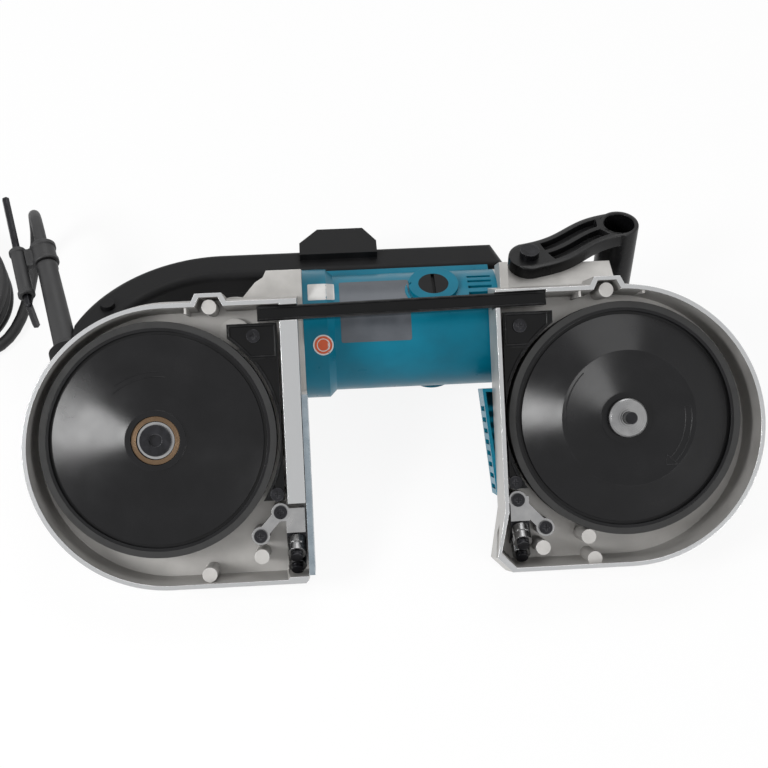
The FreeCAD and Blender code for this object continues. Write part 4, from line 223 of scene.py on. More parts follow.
@dataclass(frozen=True)
class Finish:
    """A surface: what it is made of, and how that shows.

    Patterns are laid in object space. Sizes are in millimetres.
    """

    name: str
    colour: str
    mottle: str
    roughness: float
    metallic: float = 0.0
    grain_mm: float = 0.8
    bump_mm: float = 0.03
    patch_mm: float = 14.0
    rough_spread: float = 0.08
    edge_mm: float = 0.5
    worn: str = ""
    wear: float = 0.0
    wear_mm: float = 0.9
    ior: float = 1.5

    def layers(self, tree: NodeTree) -> Layers:
        """Cloudy colour and roughness over a fine grain.

        Args:
            tree: Node tree of the material.

        Returns:
            The layers that the other methods add to.
        """
        where = add_node(tree, "ShaderNodeTexCoord").outputs["Object"]
        patch, grain = [
            add_node(tree, "ShaderNodeTexNoise", {
                "Vector": where, "Scale": 1.0 / (size * MM), "Detail": detail,
                "Roughness": NOISE_ROUGHNESS}).outputs["Fac"]
            for size, detail in ((self.patch_mm, 3.0), (self.grain_mm, 2.0))]
        span = {"Value": patch, "From Min": CLOUD_SPAN[0], "From Max": CLOUD_SPAN[1]}
        share = add_node(tree, "ShaderNodeMapRange", span).outputs[0]
        tones = {0: share, 6: linear(self.colour), 7: linear(self.mottle)}
        colour = add_node(tree, "ShaderNodeMix", tones, data_type="RGBA").outputs[2]
        span |= {"To Min": self.roughness - self.rough_spread, "To Max": self.roughness + self.rough_spread}
        rough = add_node(tree, "ShaderNodeMapRange", span).outputs[0]
        return Layers(where, patch, colour, rough, self.metallic, grain)

    def rub(self, tree: NodeTree, layers: Layers) -> None:
        """Rubs the edges, where the rounded normal leaves the flat one, in broken stretches.

        Args:
            tree: Node tree of the material.
            layers: Layers to change.
        """
        inputs = {"Radius": self.wear_mm * MM}
        soft = add_node(tree, "ShaderNodeBevel", inputs, samples=BEVEL_SAMPLES).outputs[0]
        flat = add_node(tree, "ShaderNodeNewGeometry").outputs["Normal"]
        along = add_node(tree, "ShaderNodeVectorMath", {0: soft, 1: flat}, operation="DOT_PRODUCT")
        edge = add_node(tree, "ShaderNodeMapRange", {
            "Value": along.outputs["Value"], "From Min": EDGE_SPAN[0], "From Max": EDGE_SPAN[1]}).outputs[0]
        broken = add_node(tree, "ShaderNodeMapRange", {
            "Value": layers.patch, "From Min": BREAK_SPAN[0], "From Max": BREAK_SPAN[1],
            "To Max": self.wear}).outputs[0]
        share = add_node(tree, "ShaderNodeMath", {0: edge, 1: broken}, operation="MULTIPLY").outputs[0]
        tones = {0: share, 6: layers.colour, 7: linear(self.worn)}
        layers.colour = add_node(tree, "ShaderNodeMix", tones, data_type="RGBA").outputs[2]

    def dress_up(self, tree: NodeTree, layers: Layers) -> None:
        """What a finish has beyond its clouds, grain and rubbed edges: here nothing.

        Args:
            tree: Node tree of the material.
            layers: Layers to change.
        """

    def build(self) -> Material:
        """Makes the material.

        Returns:
            The finished material.
        """
        material = bpy.data.materials.new(self.name)
        tree = empty_tree(material)
        layers = self.layers(tree)
        self.dress_up(tree, layers)
        if self.wear:
            self.rub(tree, layers)
        inputs = {"Radius": self.edge_mm * MM}
        edge = add_node(tree, "ShaderNodeBevel", inputs, samples=BEVEL_SAMPLES).outputs[0]
        inputs = {"Height": layers.height, "Distance": self.bump_mm * MM, "Strength": 1.0, "Normal": edge}
        relief = add_node(tree, "ShaderNodeBump", inputs).outputs[0]
        shader = add_node(tree, "ShaderNodeBsdfPrincipled", {
            "Base Color": layers.colour, "Roughness": layers.rough, "Metallic": layers.metal,
            "Normal": relief, "IOR": self.ior})
        add_node(tree, "ShaderNodeOutputMaterial", {"Surface": shader.outputs[0]})
        return material


@dataclass(frozen=True)
class CastAluminium(Finish):
    """Cast aluminium with a grey skin, milled bright in the plane of the rim."""

    milled: str = "b4b5b6"
    milled_rough: float = 0.24
    milled_depth_mm: float = 0.15
    plane: Triple = (0.0, 0.0, 1.0)
    level: float = 0.0

    def dress_up(self, tree: NodeTree, layers: Layers) -> None:
        """Makes what lies in the rim's plane bright.

        Args:
            tree: Node tree of the material.
            layers: Layers to change.
        """
        inputs = {0: layers.where, 1: self.plane}
        height = add_node(tree, "ShaderNodeVectorMath", inputs, operation="DOT_PRODUCT").outputs["Value"]
        inputs = {0: height, 1: self.level - self.milled_depth_mm * MM}
        above = add_node(tree, "ShaderNodeMath", inputs, operation="GREATER_THAN").outputs[0]
        tones = {0: above, 6: layers.colour, 7: linear(self.milled)}
        layers.colour = add_node(tree, "ShaderNodeMix", tones, data_type="RGBA").outputs[2]
        inputs = {0: above, 2: layers.rough, 3: self.milled_rough}
        layers.rough = add_node(tree, "ShaderNodeMix", inputs).outputs[0]
        layers.metal = add_node(tree, "ShaderNodeMix", {0: above, 2: self.metallic, 3: 1.0}).outputs[0]


@dataclass(frozen=True)
class TurnedMetal(Finish):
    """A face turned on a lathe: fine rings round an axis."""

    axis: Triple = (0.0, 0.0, 1.0)
    centre: Triple = (0.0, 0.0, 0.0)
    ring_mm: float = 0.8

    def dress_up(self, tree: NodeTree, layers: Layers) -> None:
        """Puts rings, which follow the distance from the axis, in place of the grain.

        Args:
            tree: Node tree of the material.
            layers: Layers to change.
        """
        inputs = {0: layers.where, 1: self.centre}
        local = add_node(tree, "ShaderNodeVectorMath", inputs, operation="SUBTRACT").outputs[0]
        inputs = {0: local, 1: self.axis}
        across = add_node(tree, "ShaderNodeVectorMath", inputs, operation="CROSS_PRODUCT").outputs[0]
        reach = add_node(tree, "ShaderNodeVectorMath", {0: across}, operation="LENGTH").outputs["Value"]
        inputs = {0: reach, 1: 2.0 * math.pi / (self.ring_mm * MM)}
        turns = add_node(tree, "ShaderNodeMath", inputs, operation="MULTIPLY").outputs[0]
        layers.height = add_node(tree, "ShaderNodeMath", {0: turns}, operation="SINE").outputs[0]


class Coat(Enum):
    """The finishes of the saw, by what they are."""

    CAST = "sand_cast_aluminium"
    TEAL = "teal_glass_filled_nylon"
    BLACK = "black_textured_nylon"
    GRIP = "black_gloss_nylon"
    PAINT = "black_gloss_enamel"
    WHEEL = "black_satin_stoved_enamel"
    TYRE = "black_moulded_rubber"
    ZINC = "bright_zinc_plated_steel"
    GROUND = "ground_steel"
    TURNED = "turned_steel"
    OXIDE = "black_oxide_steel"
    BRONZE = "turned_bronze"
    COPPER = "bare_copper"
    IRON = "stacked_core_iron"
    CARBON = "pressed_carbon"
    CORD = "rubber_cord_jacket"
    STRAP = "black_woven_strap"
    LABEL = "matt_grey_foil"
    PAPER = "white_paper_label"
    ORANGE = "orange_printed_film"


def finishes(tool: ToolFrame) -> dict[Coat, Finish]:
    """The finishes with their settings.

    Args:
        tool: Axes of the saw, for the milled rim and the turned faces.

    Returns:
        Finish by its kind.
    """
    rim = tuple(tool.z_axis)
    level = tool.z_axis.dot(tool.origin)
    hubs = [tuple(tool.point(side * HALF_SPAN, 0.0, 0.0)) for side in (-1, 1)]
    made = [
        # Cast skin: warm grey, slightly grainy and dull, bright where edges rubbed; the milled rim is bright.
        CastAluminium(Coat.CAST.value, "aaa8a5", "b9b7b4", 0.4, 0.45, 0.9, 0.05, 18.0, worn="dededd",
                      wear=0.6, plane=rim, level=level),
        # Moulded nylon: even colour, faint flow mottle, soft gloss, paler at rubbed edges.
        Finish(Coat.TEAL.value, "016880", "02718a", 0.34, 0.0, 0.7, 0.015, 24.0, worn="3f8fa1", wear=0.3,
               ior=1.3),
        # Spark eroded mould texture: fine grain, dull highlights, polished grey edges.
        Finish(Coat.BLACK.value, "101011", "161617", 0.5, 0.0, 0.9, 0.05, 20.0, worn="3a3a3c", wear=0.25,
               ior=1.24),
        # Smooth moulded nylon: black with a clear gloss.
        Finish(Coat.GRIP.value, "0c0c0d", "111112", 0.28, 0.0, 0.8, 0.02, 20.0, worn="3a3a3c", wear=0.25,
               ior=1.33),
        # Sprayed gloss enamel on sheet metal: slight orange peel, chipped to grey at the edges.
        Finish(Coat.PAINT.value, "040405", "070708", 0.14, 0.0, 2.2, 0.02, 12.0, 0.05, worn="5c5c5e",
               wear=0.35, ior=1.28),
        # Stoved enamel on a cast wheel: clear highlights that end within a sector, dusty in faint clouds.
        Finish(Coat.WHEEL.value, "08080a", "0e0e10", 0.24, 0.0, 1.1, 0.006, 22.0, 0.04, worn="3c3c3e",
               wear=0.3, ior=1.33),
        # Moulded rubber: very dull, dusty in patches.
        Finish(Coat.TYRE.value, "121212", "1d1d1d", 0.7, 0.0, 0.7, 0.06, 9.0),
        # Zinc plate: pale blue grey, cloudy.
        Finish(Coat.ZINC.value, "828d95", "8d979e", 0.28, 0.9, 1.2, 0.01, 7.0, 0.05, edge_mm=0.3,
               worn="d0d3d5", wear=0.4),
        # Ground steel: bright, with scratches too fine to show, drawn as a faint grain.
        Finish(Coat.GROUND.value, "8f8f90", "9d9d9d", 0.24, 1.0, 0.6, 0.008, 11.0, 0.04, edge_mm=0.3),
        # Turned steel: the idler's collar, with fine rings from the lathe.
        TurnedMetal(Coat.TURNED.value, "838384", "909090", 0.28, 1.0, 0.6, 0.02, 11.0, 0.04, edge_mm=0.3,
                    axis=rim, centre=hubs[1], ring_mm=1.4),
        # Black oxide: nearly black, oily sheen, bright corners.
        Finish(Coat.OXIDE.value, "141417", "1f1f23", 0.3, 0.6, 0.8, 0.01, 6.0, edge_mm=0.3, worn="77777a",
               wear=0.4),
        # Turned bronze: brown gold with fine rings.
        TurnedMetal(Coat.BRONZE.value, "6f5c49", "5b4a3a", 0.3, 1.0, 0.6, 0.02, 5.0, edge_mm=0.3, axis=rim,
                    centre=hubs[0]),
        # Drawn copper: warm, tarnished in patches.
        Finish(Coat.COPPER.value, "b06a3c", "8f5530", 0.35, 1.0, 0.6, 0.02, 5.0),
        # Stacked sheets: dark grey, fine ridges drawn as grain.
        Finish(Coat.IRON.value, "4a4a4c", "59595b", 0.5, 0.8, 0.7, 0.04, 8.0),
        # Pressed carbon: dull dark grey.
        Finish(Coat.CARBON.value, "2a2a2c", "202022", 0.7, 0.0, 0.6, 0.04, 5.0),
        # Rubber jacket: dull black, a little dusty.
        Finish(Coat.CORD.value, "1b1b1c", "262627", 0.55, 0.0, 1.2, 0.03, 16.0),
        # Woven tape: dull, with threads of about a millimetre.
        Finish(Coat.STRAP.value, "171718", "232325", 0.8, 0.0, 1.0, 0.12, 6.0),
        # Printed foil: dark grey, even, with a faint sheen.
        Finish(Coat.LABEL.value, "4a4e54", "53575d", 0.4, 0.2, 0.6, 0.004, 12.0, edge_mm=0.1),
        # Coated paper: off white, flat.
        Finish(Coat.PAPER.value, "dedddb", "d3d2d0", 0.6, 0.0, 0.6, 0.006, 9.0, edge_mm=0.1),
        # Printed film: even orange, soft gloss.
        Finish(Coat.ORANGE.value, "d4592c", "c65128", 0.4, 0.0, 0.6, 0.004, 9.0, edge_mm=0.1),
    ]
    return {Coat(finish.name): finish for finish in made}


NODE_COATS: dict[Coat, tuple[str, ...]] = {
    Coat.CAST: ("rear_frame", "front_frame", "gear_housing"),
    Coat.TEAL: ("motor_housing", "front_cover"),
    Coat.BLACK: ("handle_shell_near", "handle_shell_far", "trigger", "lock_button", "speed_dial",
                 "switch_body", "cooling_fan", "brush_caps", "plug_body"),
    Coat.GRIP: ("front_grip",),
    Coat.PAINT: ("rear_guard", "front_guard", "blade_cover"),
    Coat.WHEEL: ("drive_wheel", "idler_wheel"),
    Coat.TYRE: ("drive_tyre", "idler_tyre"),
    Coat.ZINC: ("stop_plate", "stop_bolts", "handle_screws", "plug_pins", "tension_lever"),
    Coat.GROUND: ("rear_guide_bracket", "front_guide_bracket", "rear_roller_upper", "rear_roller_lower",
                  "front_roller_upper", "front_roller_lower", "spindle", "armature_shaft", "first_gear",
                  "second_gear", "drive_gear", "shaft_bearings", "idler_bearings"),
    Coat.TURNED: ("idler_collar",),
    Coat.OXIDE: ("hub_cap", "guide_holders", "hex_key", "tension_spring", "guide_screws", "guard_screws",
                 "roller_pins", "grip_bolts", "idler_slide"),
    Coat.BRONZE: ("hub_washer",),
    Coat.COPPER: ("field_coils", "commutator"),
    Coat.IRON: ("field_core", "armature_core"),
    Coat.CARBON: ("carbon_brushes",),
    Coat.CORD: ("cord", "cord_coil", "cord_guard", "key_holder"),
}


@dataclass
class Wardrobe:
    """Keeps one material of each finish and dresses objects with it."""

    tool: ToolFrame
    made: dict[Coat, Material] = field(default_factory=dict)

    def material(self, coat: Coat) -> Material:
        """The material of a finish, made once.

        Args:
            coat: The finish.

        Returns:
            Its material.
        """
        if coat not in self.made:
            self.made[coat] = finishes(self.tool)[coat].build()
        return self.made[coat]

    def dress(self, obj: Object, coat: Coat) -> None:
        """Gives an object one finish all over."""
        obj.data.materials.clear()
        obj.data.materials.append(self.material(coat))

    def add(self, piece: Object, coat: Coat, slot: str, body: str = FRAME_BODY,
            replaced: Sequence[str] = ()) -> Object:
        """Finishes a new piece and fixes it to a body.

        Args:
            piece: The piece.
            coat: Its finish.
            slot: Name of a material slot of the record; not used.
            body: Body that carries it.
            replaced: CAD nodes that it stands for.

        Returns:
            The piece.
        """
        self.dress(piece, coat)
        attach(piece, body)
        if replaced:
            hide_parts(*replaced)
        LOG.info("%s built", piece.name)
        return piece


@dataclass
class Lamp:
    """One soft square lamp."""

    name: str
    place: Triple
    aim: Triple
    side: float
    watts: float

    def build(self) -> None:
        """Adds the lamp to the scene."""
        data = bpy.data.lights.new(self.name, "AREA")
        data.shape = "SQUARE"
        data.size = self.side
        data.energy = self.watts
        lamp = link_object(self.name, data)
        lamp.location = self.place
        lamp.rotation_euler = (Vector(self.aim) - Vector(self.place)).to_track_quat("-Z", "Y").to_euler()


@dataclass
class Studio:
    """Camera, floor and lights."""

    tool: ToolFrame
    place: Triple = (-44.07, 31.07, 892.23)
    right: Triple = (0.997987, -0.046284, 0.043356)
    back: Triple = (-0.043378, 0.000520, 0.999059)
    focal_px: float = 1323.0
    floor_half: float = 4.0
    floor_drop: float = 0.0004
    floor_glow: float = 0.9
    paper: tuple[float, float, float, float] = (0.9, 0.9, 0.9, 1.0)
    room_light: float = 0.36
    lamps: tuple[Lamp, ...] = (
        Lamp("left_softbox", (-1.17, -0.55, 1.14), (-0.12, -0.05, 0.1), 0.5, 18.0),
        Lamp("top_softbox", (0.25, 0.85, 1.5), (0.0, 0.0, 0.05), 1.1, 9.0),
        Lamp("front_softbox", (1.05, -1.15, 0.65), (0.1, 0.0, 0.05), 0.6, 8.0))

    def camera(self) -> None:
        """Puts the camera where the photograph was taken."""
        data = bpy.data.cameras.new("camera")
        data.angle = 2.0 * math.atan(IMAGE_SIDE / 2.0 / self.focal_px)
        data.clip_start = 0.01
        camera = link_object("camera", data)
        place = self.tool.point(*self.place)
        camera.matrix_world = basis(place, self.tool.way(*self.right), self.tool.way(*self.back))
        bpy.context.scene.camera = camera

    def seen(self, tree: NodeTree) -> NodeSocket:
        """Tells where a surface is looked at from where it only gives light.

        Args:
            tree: Node tree of the surface.

        Returns:
            One where it is seen, mirrored or seen through glass, and zero elsewhere.
        """
        rays = add_node(tree, "ShaderNodeLightPath").outputs
        share = rays["Is Camera Ray"]
        for name in ("Is Glossy Ray", "Is Transmission Ray"):
            inputs = {0: share, 1: rays[name]}
            share = add_node(tree, "ShaderNodeMath", inputs, operation="MAXIMUM").outputs[0]
        return share

    def floor_paper(self) -> Material:
        """White paper: seen and mirrored nearly white, lit for the rest, so that a faint shadow stays.

        Returns:
            The material.
        """
        material = bpy.data.materials.new("white_paper_sweep")
        tree = empty_tree(material)
        inputs = {0: self.seen(tree), 1: self.floor_glow}
        share = add_node(tree, "ShaderNodeMath", inputs, operation="MULTIPLY").outputs[0]
        paper = add_node(tree, "ShaderNodeBsdfDiffuse", {"Color": self.paper}).outputs[0]
        glow = add_node(tree, "ShaderNodeEmission", {"Color": WHITE, "Strength": 1.0}).outputs[0]
        mixed = add_node(tree, "ShaderNodeMixShader", {0: share, 1: paper, 2: glow}).outputs[0]
        add_node(tree, "ShaderNodeOutputMaterial", {"Surface": mixed})
        return material

    def floor(self) -> None:
        """Lays the paper under the saw."""
        half = self.floor_half
        mesh = bpy.data.meshes.new("floor")
        corners = [(-half, -half, 0.0), (half, -half, 0.0), (half, half, 0.0), (-half, half, 0.0)]
        mesh.from_pydata(corners, [], [(0, 1, 2, 3)])
        mesh.materials.append(self.floor_paper())
        floor = link_object("floor", mesh)
        floor.location.z = -self.floor_drop

    def light(self) -> None:
        """Sets the lamps and the room."""
        for lamp in self.lamps:
            lamp.build()
        world = bpy.data.worlds.new("room")
        bpy.context.scene.world = world
        tree = empty_tree(world)
        inputs = {"Value": self.seen(tree), "To Min": self.room_light, "To Max": 1.0}
        strength = add_node(tree, "ShaderNodeMapRange", inputs).outputs[0]
        air = add_node(tree, "ShaderNodeBackground", {"Color": WHITE, "Strength": strength})
        add_node(tree, "ShaderNodeOutputWorld", {"Surface": air.outputs[0]})
        bpy.context.scene.view_settings.view_transform = "Standard"


# Shapes

# Points nearer to each other than this become one, in metres.
MERGE_DISTANCE = 1e-7
# Edges flatter than this are shaded round, in degrees.
SMOOTH_ANGLE = 40.0


def new_object(name: str, body: BMesh) -> Object:
    """Turns a finished bmesh into a shaded object of the scene.

    Args:
        name: Name of the piece.
        body: Its mesh, which is used up.

    Returns:
        The object.
    """
    bmesh.ops.remove_doubles(body, verts=body.verts, dist=MERGE_DISTANCE)
    bmesh.ops.recalc_face_normals(body, faces=body.faces)
    mesh = bpy.data.meshes.new(name)
    body.to_mesh(mesh)
    body.free()
    obj = link_object(name, mesh)
    mesh.shade_smooth()
    mesh.set_sharp_from_angle(angle=math.radians(SMOOTH_ANGLE))
    return obj


def skin_rows(body: BMesh, rows: Sequence[Sequence[BMVert]], closed: bool) -> None:
    """Joins rows of points, each closed on itself, with faces.

    Args:
        body: Mesh that gets the faces.
        rows: Points of each row, all of one length.
        closed: Whether the last row joins the first.
    """
    pairs = list(zip(rows, rows[1:])) + ([(rows[-1], rows[0])] if closed else [])
    for low, high in pairs:
        for index in range(len(low)):
            after = (index + 1) % len(low)
            corners = list(dict.fromkeys((low[index], low[after], high[after], high[index])))
            body.faces.new(corners)


def loft(body: BMesh, rows: Sequence[Sequence[BMVert]]) -> None:
    """Joins rows of points and closes both ends.

    Args:
        body: Mesh that gets the faces.
        rows: Points of each row, all of one length.
    """
    skin_rows(body, rows, False)
    body.faces.new(rows[0])
    body.faces.new(rows[-1])


def turn_profile(body: BMesh, profile: Sequence[Pair], matrix: Matrix, steps: int = 48) -> None:
    """Adds a closed profile turned about the z axis of a placing matrix.

    Args:
        body: Mesh that gets the shape.
        profile: Radii and heights in millimetres, all round the section.
        matrix: Where the axis stands.
        steps: Faces round the axis.
    """
    rows = []
    for step in range(steps):
        angle = 2.0 * math.pi * step / steps
        row = [Vector((r * math.cos(angle), r * math.sin(angle), h)) * MM for r, h in profile]
        rows.append([body.verts.new(matrix @ point) for point in row])
    skin_rows(body, rows, True)


def between(first: Pair, second: Pair, share: float) -> Pair:
    """The point at some share of the way from one point to another."""
    return first[0] + (second[0] - first[0]) * share, first[1] + (second[1] - first[1]) * share


def moved(points: Sequence[Pair], right: float, up: float) -> list[Pair]:
    """Points moved to the right and up."""
    return [(x + right, y + up) for x, y in points]


def arc_points(radius: float, first: float, last: float, steps: int) -> list[Pair]:
    """Points of an arc about the origin.

    Args:
        radius: Radius of the arc.
        first: Angle in degrees where it begins.
        last: Angle where it ends.
        steps: Stretches between the points.

    Returns:
        Points from the first angle to the last.
    """
    angles = [math.radians(first + (last - first) * step / steps) for step in range(steps + 1)]
    return [(radius * math.cos(angle), radius * math.sin(angle)) for angle in angles]


def rounded_rectangle(width: float, height: float, radius: float, steps: int = 5,
                      pitch: float = 1.6) -> list[Pair]:
    """Outline of a rectangle with round corners, with points all along its sides.

    Args:
        width: Full width.
        height: Full height.
        radius: Radius of the corners.
        steps: Stretches of each corner.
        pitch: Most distance between points on the sides.

    Returns:
        Points, counter clockwise.
    """
    corners = []
    for corner in range(4):
        x = (width / 2.0 - radius) * (1 if corner in (0, 3) else -1)
        y = (height / 2.0 - radius) * (1 if corner in (0, 1) else -1)
        corners += moved(arc_points(radius, 90.0 * corner, 90.0 * (corner + 1), steps), x, y)
    points = []
    for first, second in zip(corners, corners[1:] + corners[:1]):
        parts = max(1, math.ceil(math.dist(first, second) / pitch))
        points += [between(first, second, part / parts) for part in range(parts)]
    return points


@dataclass
class Skin:
    """The surface of some CAD nodes, on which thin pieces are laid."""

    tree: BVHTree

    @classmethod
    def of(cls, objects: Sequence[Object]) -> "Skin":
        """Reads the surface of objects.

        Args:
            objects: CAD nodes.

        Returns:
            Their surface.
        """
        points: list[Vector] = []
        faces: list[list[int]] = []
        for obj in objects:
            start = len(points)
            points += [vertex.co.copy() for vertex in obj.data.vertices]
            faces += [[start + index for index in face.vertices] for face in obj.data.polygons]
        return cls(BVHTree.FromPolygons(points, faces))

    def drop(self, start: Vector, way: Vector) -> Spot:
        """Finds the surface from a point along a direction.

        Args:
            start: Point outside the surface.
            way: Direction to look in.

        Returns:
            The place that is met and the normal there, turned towards the start.
        """
        place, normal, _, _ = self.tree.ray_cast(start, way)
        if place is None:
            raise ValueError(f"no surface below {tuple(start)}")
        return place, normal if normal.dot(way) < 0.0 else -normal

    def trace(self, tool: ToolFrame, flat: Sequence[Pair], height: float) -> list[Spot]:
        """Finds the surface below points on the wheel side.

        Args:
            tool: Axes of the saw.
            flat: Places of the points in millimetres of the saw.
            height: Their height, clear of the surface.

        Returns:
            Places and normals.
        """
        return [self.drop(tool.point(x, y, height), -tool.z_axis) for x, y in flat]


def film(name: str, outline: Sequence[Pair], lay: Lay, thickness: float, rings: int = 12,
         inner: float = 0.0) -> Object:
    """A thin closed film over an outline, laid on a curved surface.

    Args:
        name: Name of the piece.
        outline: Points round the film in millimetres about its middle.
        lay: Gives the place and normal on the surface for a point of the film.
        thickness: Height above the surface in millimetres.
        rings: Steps from the middle to the edge.
        inner: Share of the outline where a hole begins, or zero.

    Returns:
        The film.
    """
    body = bmesh.new()
    shares = [inner + (1.0 - inner) * ring / rings for ring in range(rings + 1)]
    rows = []
    for lift, order in ((thickness, shares), (-thickness, list(reversed(shares)))):
        for share in order:
            row = []
            for x, y in outline:
                place, normal = lay(x * share, y * share)
                row.append(body.verts.new(place + normal * lift * MM))
            rows.append(row)
    if inner:
        skin_rows(body, rows, True)
    else:
        for row in (rows[0], rows[-1]):
            for vertex in row[1:]:
                vertex.co = row[0].co
        skin_rows(body, rows, False)
    return new_object(name, body)


# Shares of a rib's width and height, all round its section, which starts below the surface.
BEAD_SECTION = ((-0.5, -0.6), (-0.46, 0.45), (-0.25, 0.9), (0.25, 0.9), (0.46, 0.45), (0.5, -0.6))


def bead(name: str, paths: Sequence[Sequence[Spot]], width: float, height: float) -> Object:
    """Low rounded ribs along paths on a surface.

    Args:
        name: Name of the piece.
        paths: Places and normals along each rib.
        width: Width of a rib in millimetres.
        height: Height of a rib in millimetres.

    Returns:
        The ribs as one object.
    """
    body = bmesh.new()
    for path in paths:
        rows = []
        for index, (place, normal) in enumerate(path):
            before = path[max(index - 1, 0)][0]
            after = path[min(index + 1, len(path) - 1)][0]
            side = (after - before).cross(normal).normalized()
            rows.append([body.verts.new(place + side * across * width * MM + normal * up * height * MM)
                         for across, up in BEAD_SECTION])
        loft(body, rows)
    return new_object(name, body)


# Sub-assemblies


@dataclass
class Lead:
    """The mains lead: its guard at the handle, the cord with its coil, and what is on it.

    Places on the table are in metres, other lengths in millimetres and angles in degrees. Profiles are radii
    and heights, sleeves are a radius and a length, and edges are offsets from a radius and a height.
    """

    wardrobe: Wardrobe
    diameter: float = 9.0
    route: tuple[Triple, ...] = (
        (-0.23024, 0.02752, 0.06561), (-0.24704, 0.09341, 0.06561), (-0.26829, 0.17674, 0.06471),
        (-0.27529, 0.17624, 0.0045), (-0.28355, 0.08797, 0.0045), (-0.32524, 0.06853, 0.0045))
    outlet: Triple = (-0.23172, 0.03333, 0.06561)
    lead_way: Triple = (-0.247093, 0.968992, 0.0)
    coil_centre: Pair = (-0.3568, 0.122)
    coil_reach: float = 61.8
    coil_pitch: float = 9.8
    coil_start: float = -65.0
    coil_travel: float = 2275.0
    coil_shift: float = 60.0
    points_per_turn: int = 24
    # Winding at which the turns shift, and how many pitches they shift outwards and upwards.
    moves: tuple[Triple, ...] = (
        (300.0, -1, 0), (660.0, -1, 0), (960.0, 0, 1), (1260.0, 1, 0), (1620.0, 1, 0), (1920.0, 0, 1))
    tail: Triple = (-0.4186, 0.174, 0.014)
    tail_bends: Pair = (0.35, 0.7)
    real_length: float = 2.5
    curve_steps: int = 6
    bore: float = 5.1
    # Collar, taper and lip of the guard.
    guard_profile: tuple[Pair, ...] = (
        (5.1, 0.0), (9.0, 0.0), (9.6, 0.6), (9.6, 4.2), (9.1, 5.0), (8.5, 5.6), (8.4, 6.5), (8.2, 23.6),
        (8.0, 40.7), (7.8, 57.8), (7.6, 74.9), (8.05, 76.2), (8.05, 79.8), (7.5, 81.0), (6.7, 81.4),
        (5.1, 81.4))
    holder_place: float = 91.0
    sag: float = 0.45
    sleeve: Pair = (9.8, 18.0)
    sleeve_edge: tuple[Pair, ...] = ((-0.7, 0.0), (0.0, 0.8), (0.0, 3.5), (-0.9, 4.3))
    sleeve_mouth: Pair = (0.4, 0.5)
    key_offset: float = 19.0
    key_drop: float = 12.0
    key_sleeve: Pair = (6.4, 44.0)
    key_bore: float = 3.3
    web: float = 6.0
    web_inset: float = 1.0
    web_corner: float = 1.6
    # How deep the web stands in the two sleeves, and its growth at its ends and in its middle.
    web_sink: Pair = (1.6, 1.4)
    web_growth: Pair = (1.25, 0.8)
    plug_neck: tuple[Pair, ...] = ((0.0, 0.0), (6.2, 0.0), (6.9, 0.7))
    plug_grip: tuple[Pair, ...] = (
        (12.2, 20.5), (13.6, 23.0), (14.0, 26.0), (13.2, 33.0), (12.9, 39.0), (13.4, 46.0), (14.0, 50.0),
        (14.0, 54.6), (13.4, 55.7), (12.6, 56.0), (0.0, 56.0))
    rib_count: int = 5
    rib_first: Pair = (7.0, 1.5)
    rib_step: Pair = (0.95, 3.6)
    rib_edge: tuple[Pair, ...] = ((0.0, 0.0), (0.5, 2.2), (-0.5, 2.6), (-0.4, 3.3))
    flute_count: int = 6
    flute_depth: float = 0.05
    flute_run: Pair = (26.5, 49.5)
    tie_angle: float = 205.0
    tie_width: float = 14.0
    tie_thickness: float = 1.2
    tie_gap: float = 0.2
    tie_steps: int = 72
    # Least heights of the strap's inner and outer side above the table.
    tie_lows: Pair = (0.9, 0.1)
    # Thickness of the strap's second layer, and the sines between which it lies.
    lap: float = 1.1
    lap_span: Pair = (-0.35, 0.75)

    def coil_point(self, travel: float) -> Vector:
        """Follows the coil's turns.

        Args:
            travel: Degrees of winding.

        Returns:
            The place on the table after so much winding.
        """
        reach = self.coil_reach
        height = self.diameter / 2.0
        for start, out, up in self.moves:
            share = min(max((travel - start) / self.coil_shift, 0.0), 1.0)
            eased = share * share * (3.0 - 2.0 * share)
            reach += out * eased * self.coil_pitch
            height += up * eased * self.coil_pitch
        angle = math.radians(self.coil_start - travel)
        x, y = self.coil_centre
        return Vector((x + reach * MM * math.cos(angle), y + reach * MM * math.sin(angle), height * MM))

    def points(self) -> list[Vector]:
        """Lines up the route, the turns and the tail to the plug.

        Returns:
            Points of the whole lead.
        """
        count = int(self.coil_travel / (360.0 / self.points_per_turn))
        turns = [self.coil_point(index * self.coil_travel / count) for index in range(count + 1)]
        last, tail = turns[-1], Vector(self.tail)
        first, second = (last.lerp(tail, share) for share in self.tail_bends)
        first.z = last.z
        second.z = tail.z
        return [Vector(place) for place in self.route] + turns + [first, second, tail]

    def curve(self, name: str, depth: float) -> Object:
        """The lead's line as one smooth spline.

        Args:
            name: Name of the object.
            depth: Half the thickness of the tube in millimetres, or zero for the bare line.

        Returns:
            The curve.
        """
        curve = bpy.data.curves.new(name, "CURVE")
        curve.dimensions = "3D"
        curve.bevel_depth = depth * MM
        curve.bevel_resolution = self.curve_steps
        curve.resolution_u = self.curve_steps
        curve.use_fill_caps = True
        spline = curve.splines.new("NURBS")
        points = self.points()
        spline.points.add(len(points) - 1)
        for target, point in zip(spline.points, points):
            target.co = (point.x, point.y, point.z, 1.0)
        spline.order_u = 3
        spline.use_endpoint_u = True
        return link_object(name, curve)

    def guard(self) -> None:
        """Makes the tapered rubber guard with a collar and a round lip."""
        body = bmesh.new()
        turn_profile(body, self.guard_profile, basis(Vector(self.outlet), UP, Vector(self.lead_way)))
        self.wardrobe.add(new_object("cord_guard_sleeve", body), Coat.CORD, "cord_rubber",
                          replaced=("cord_guard",))

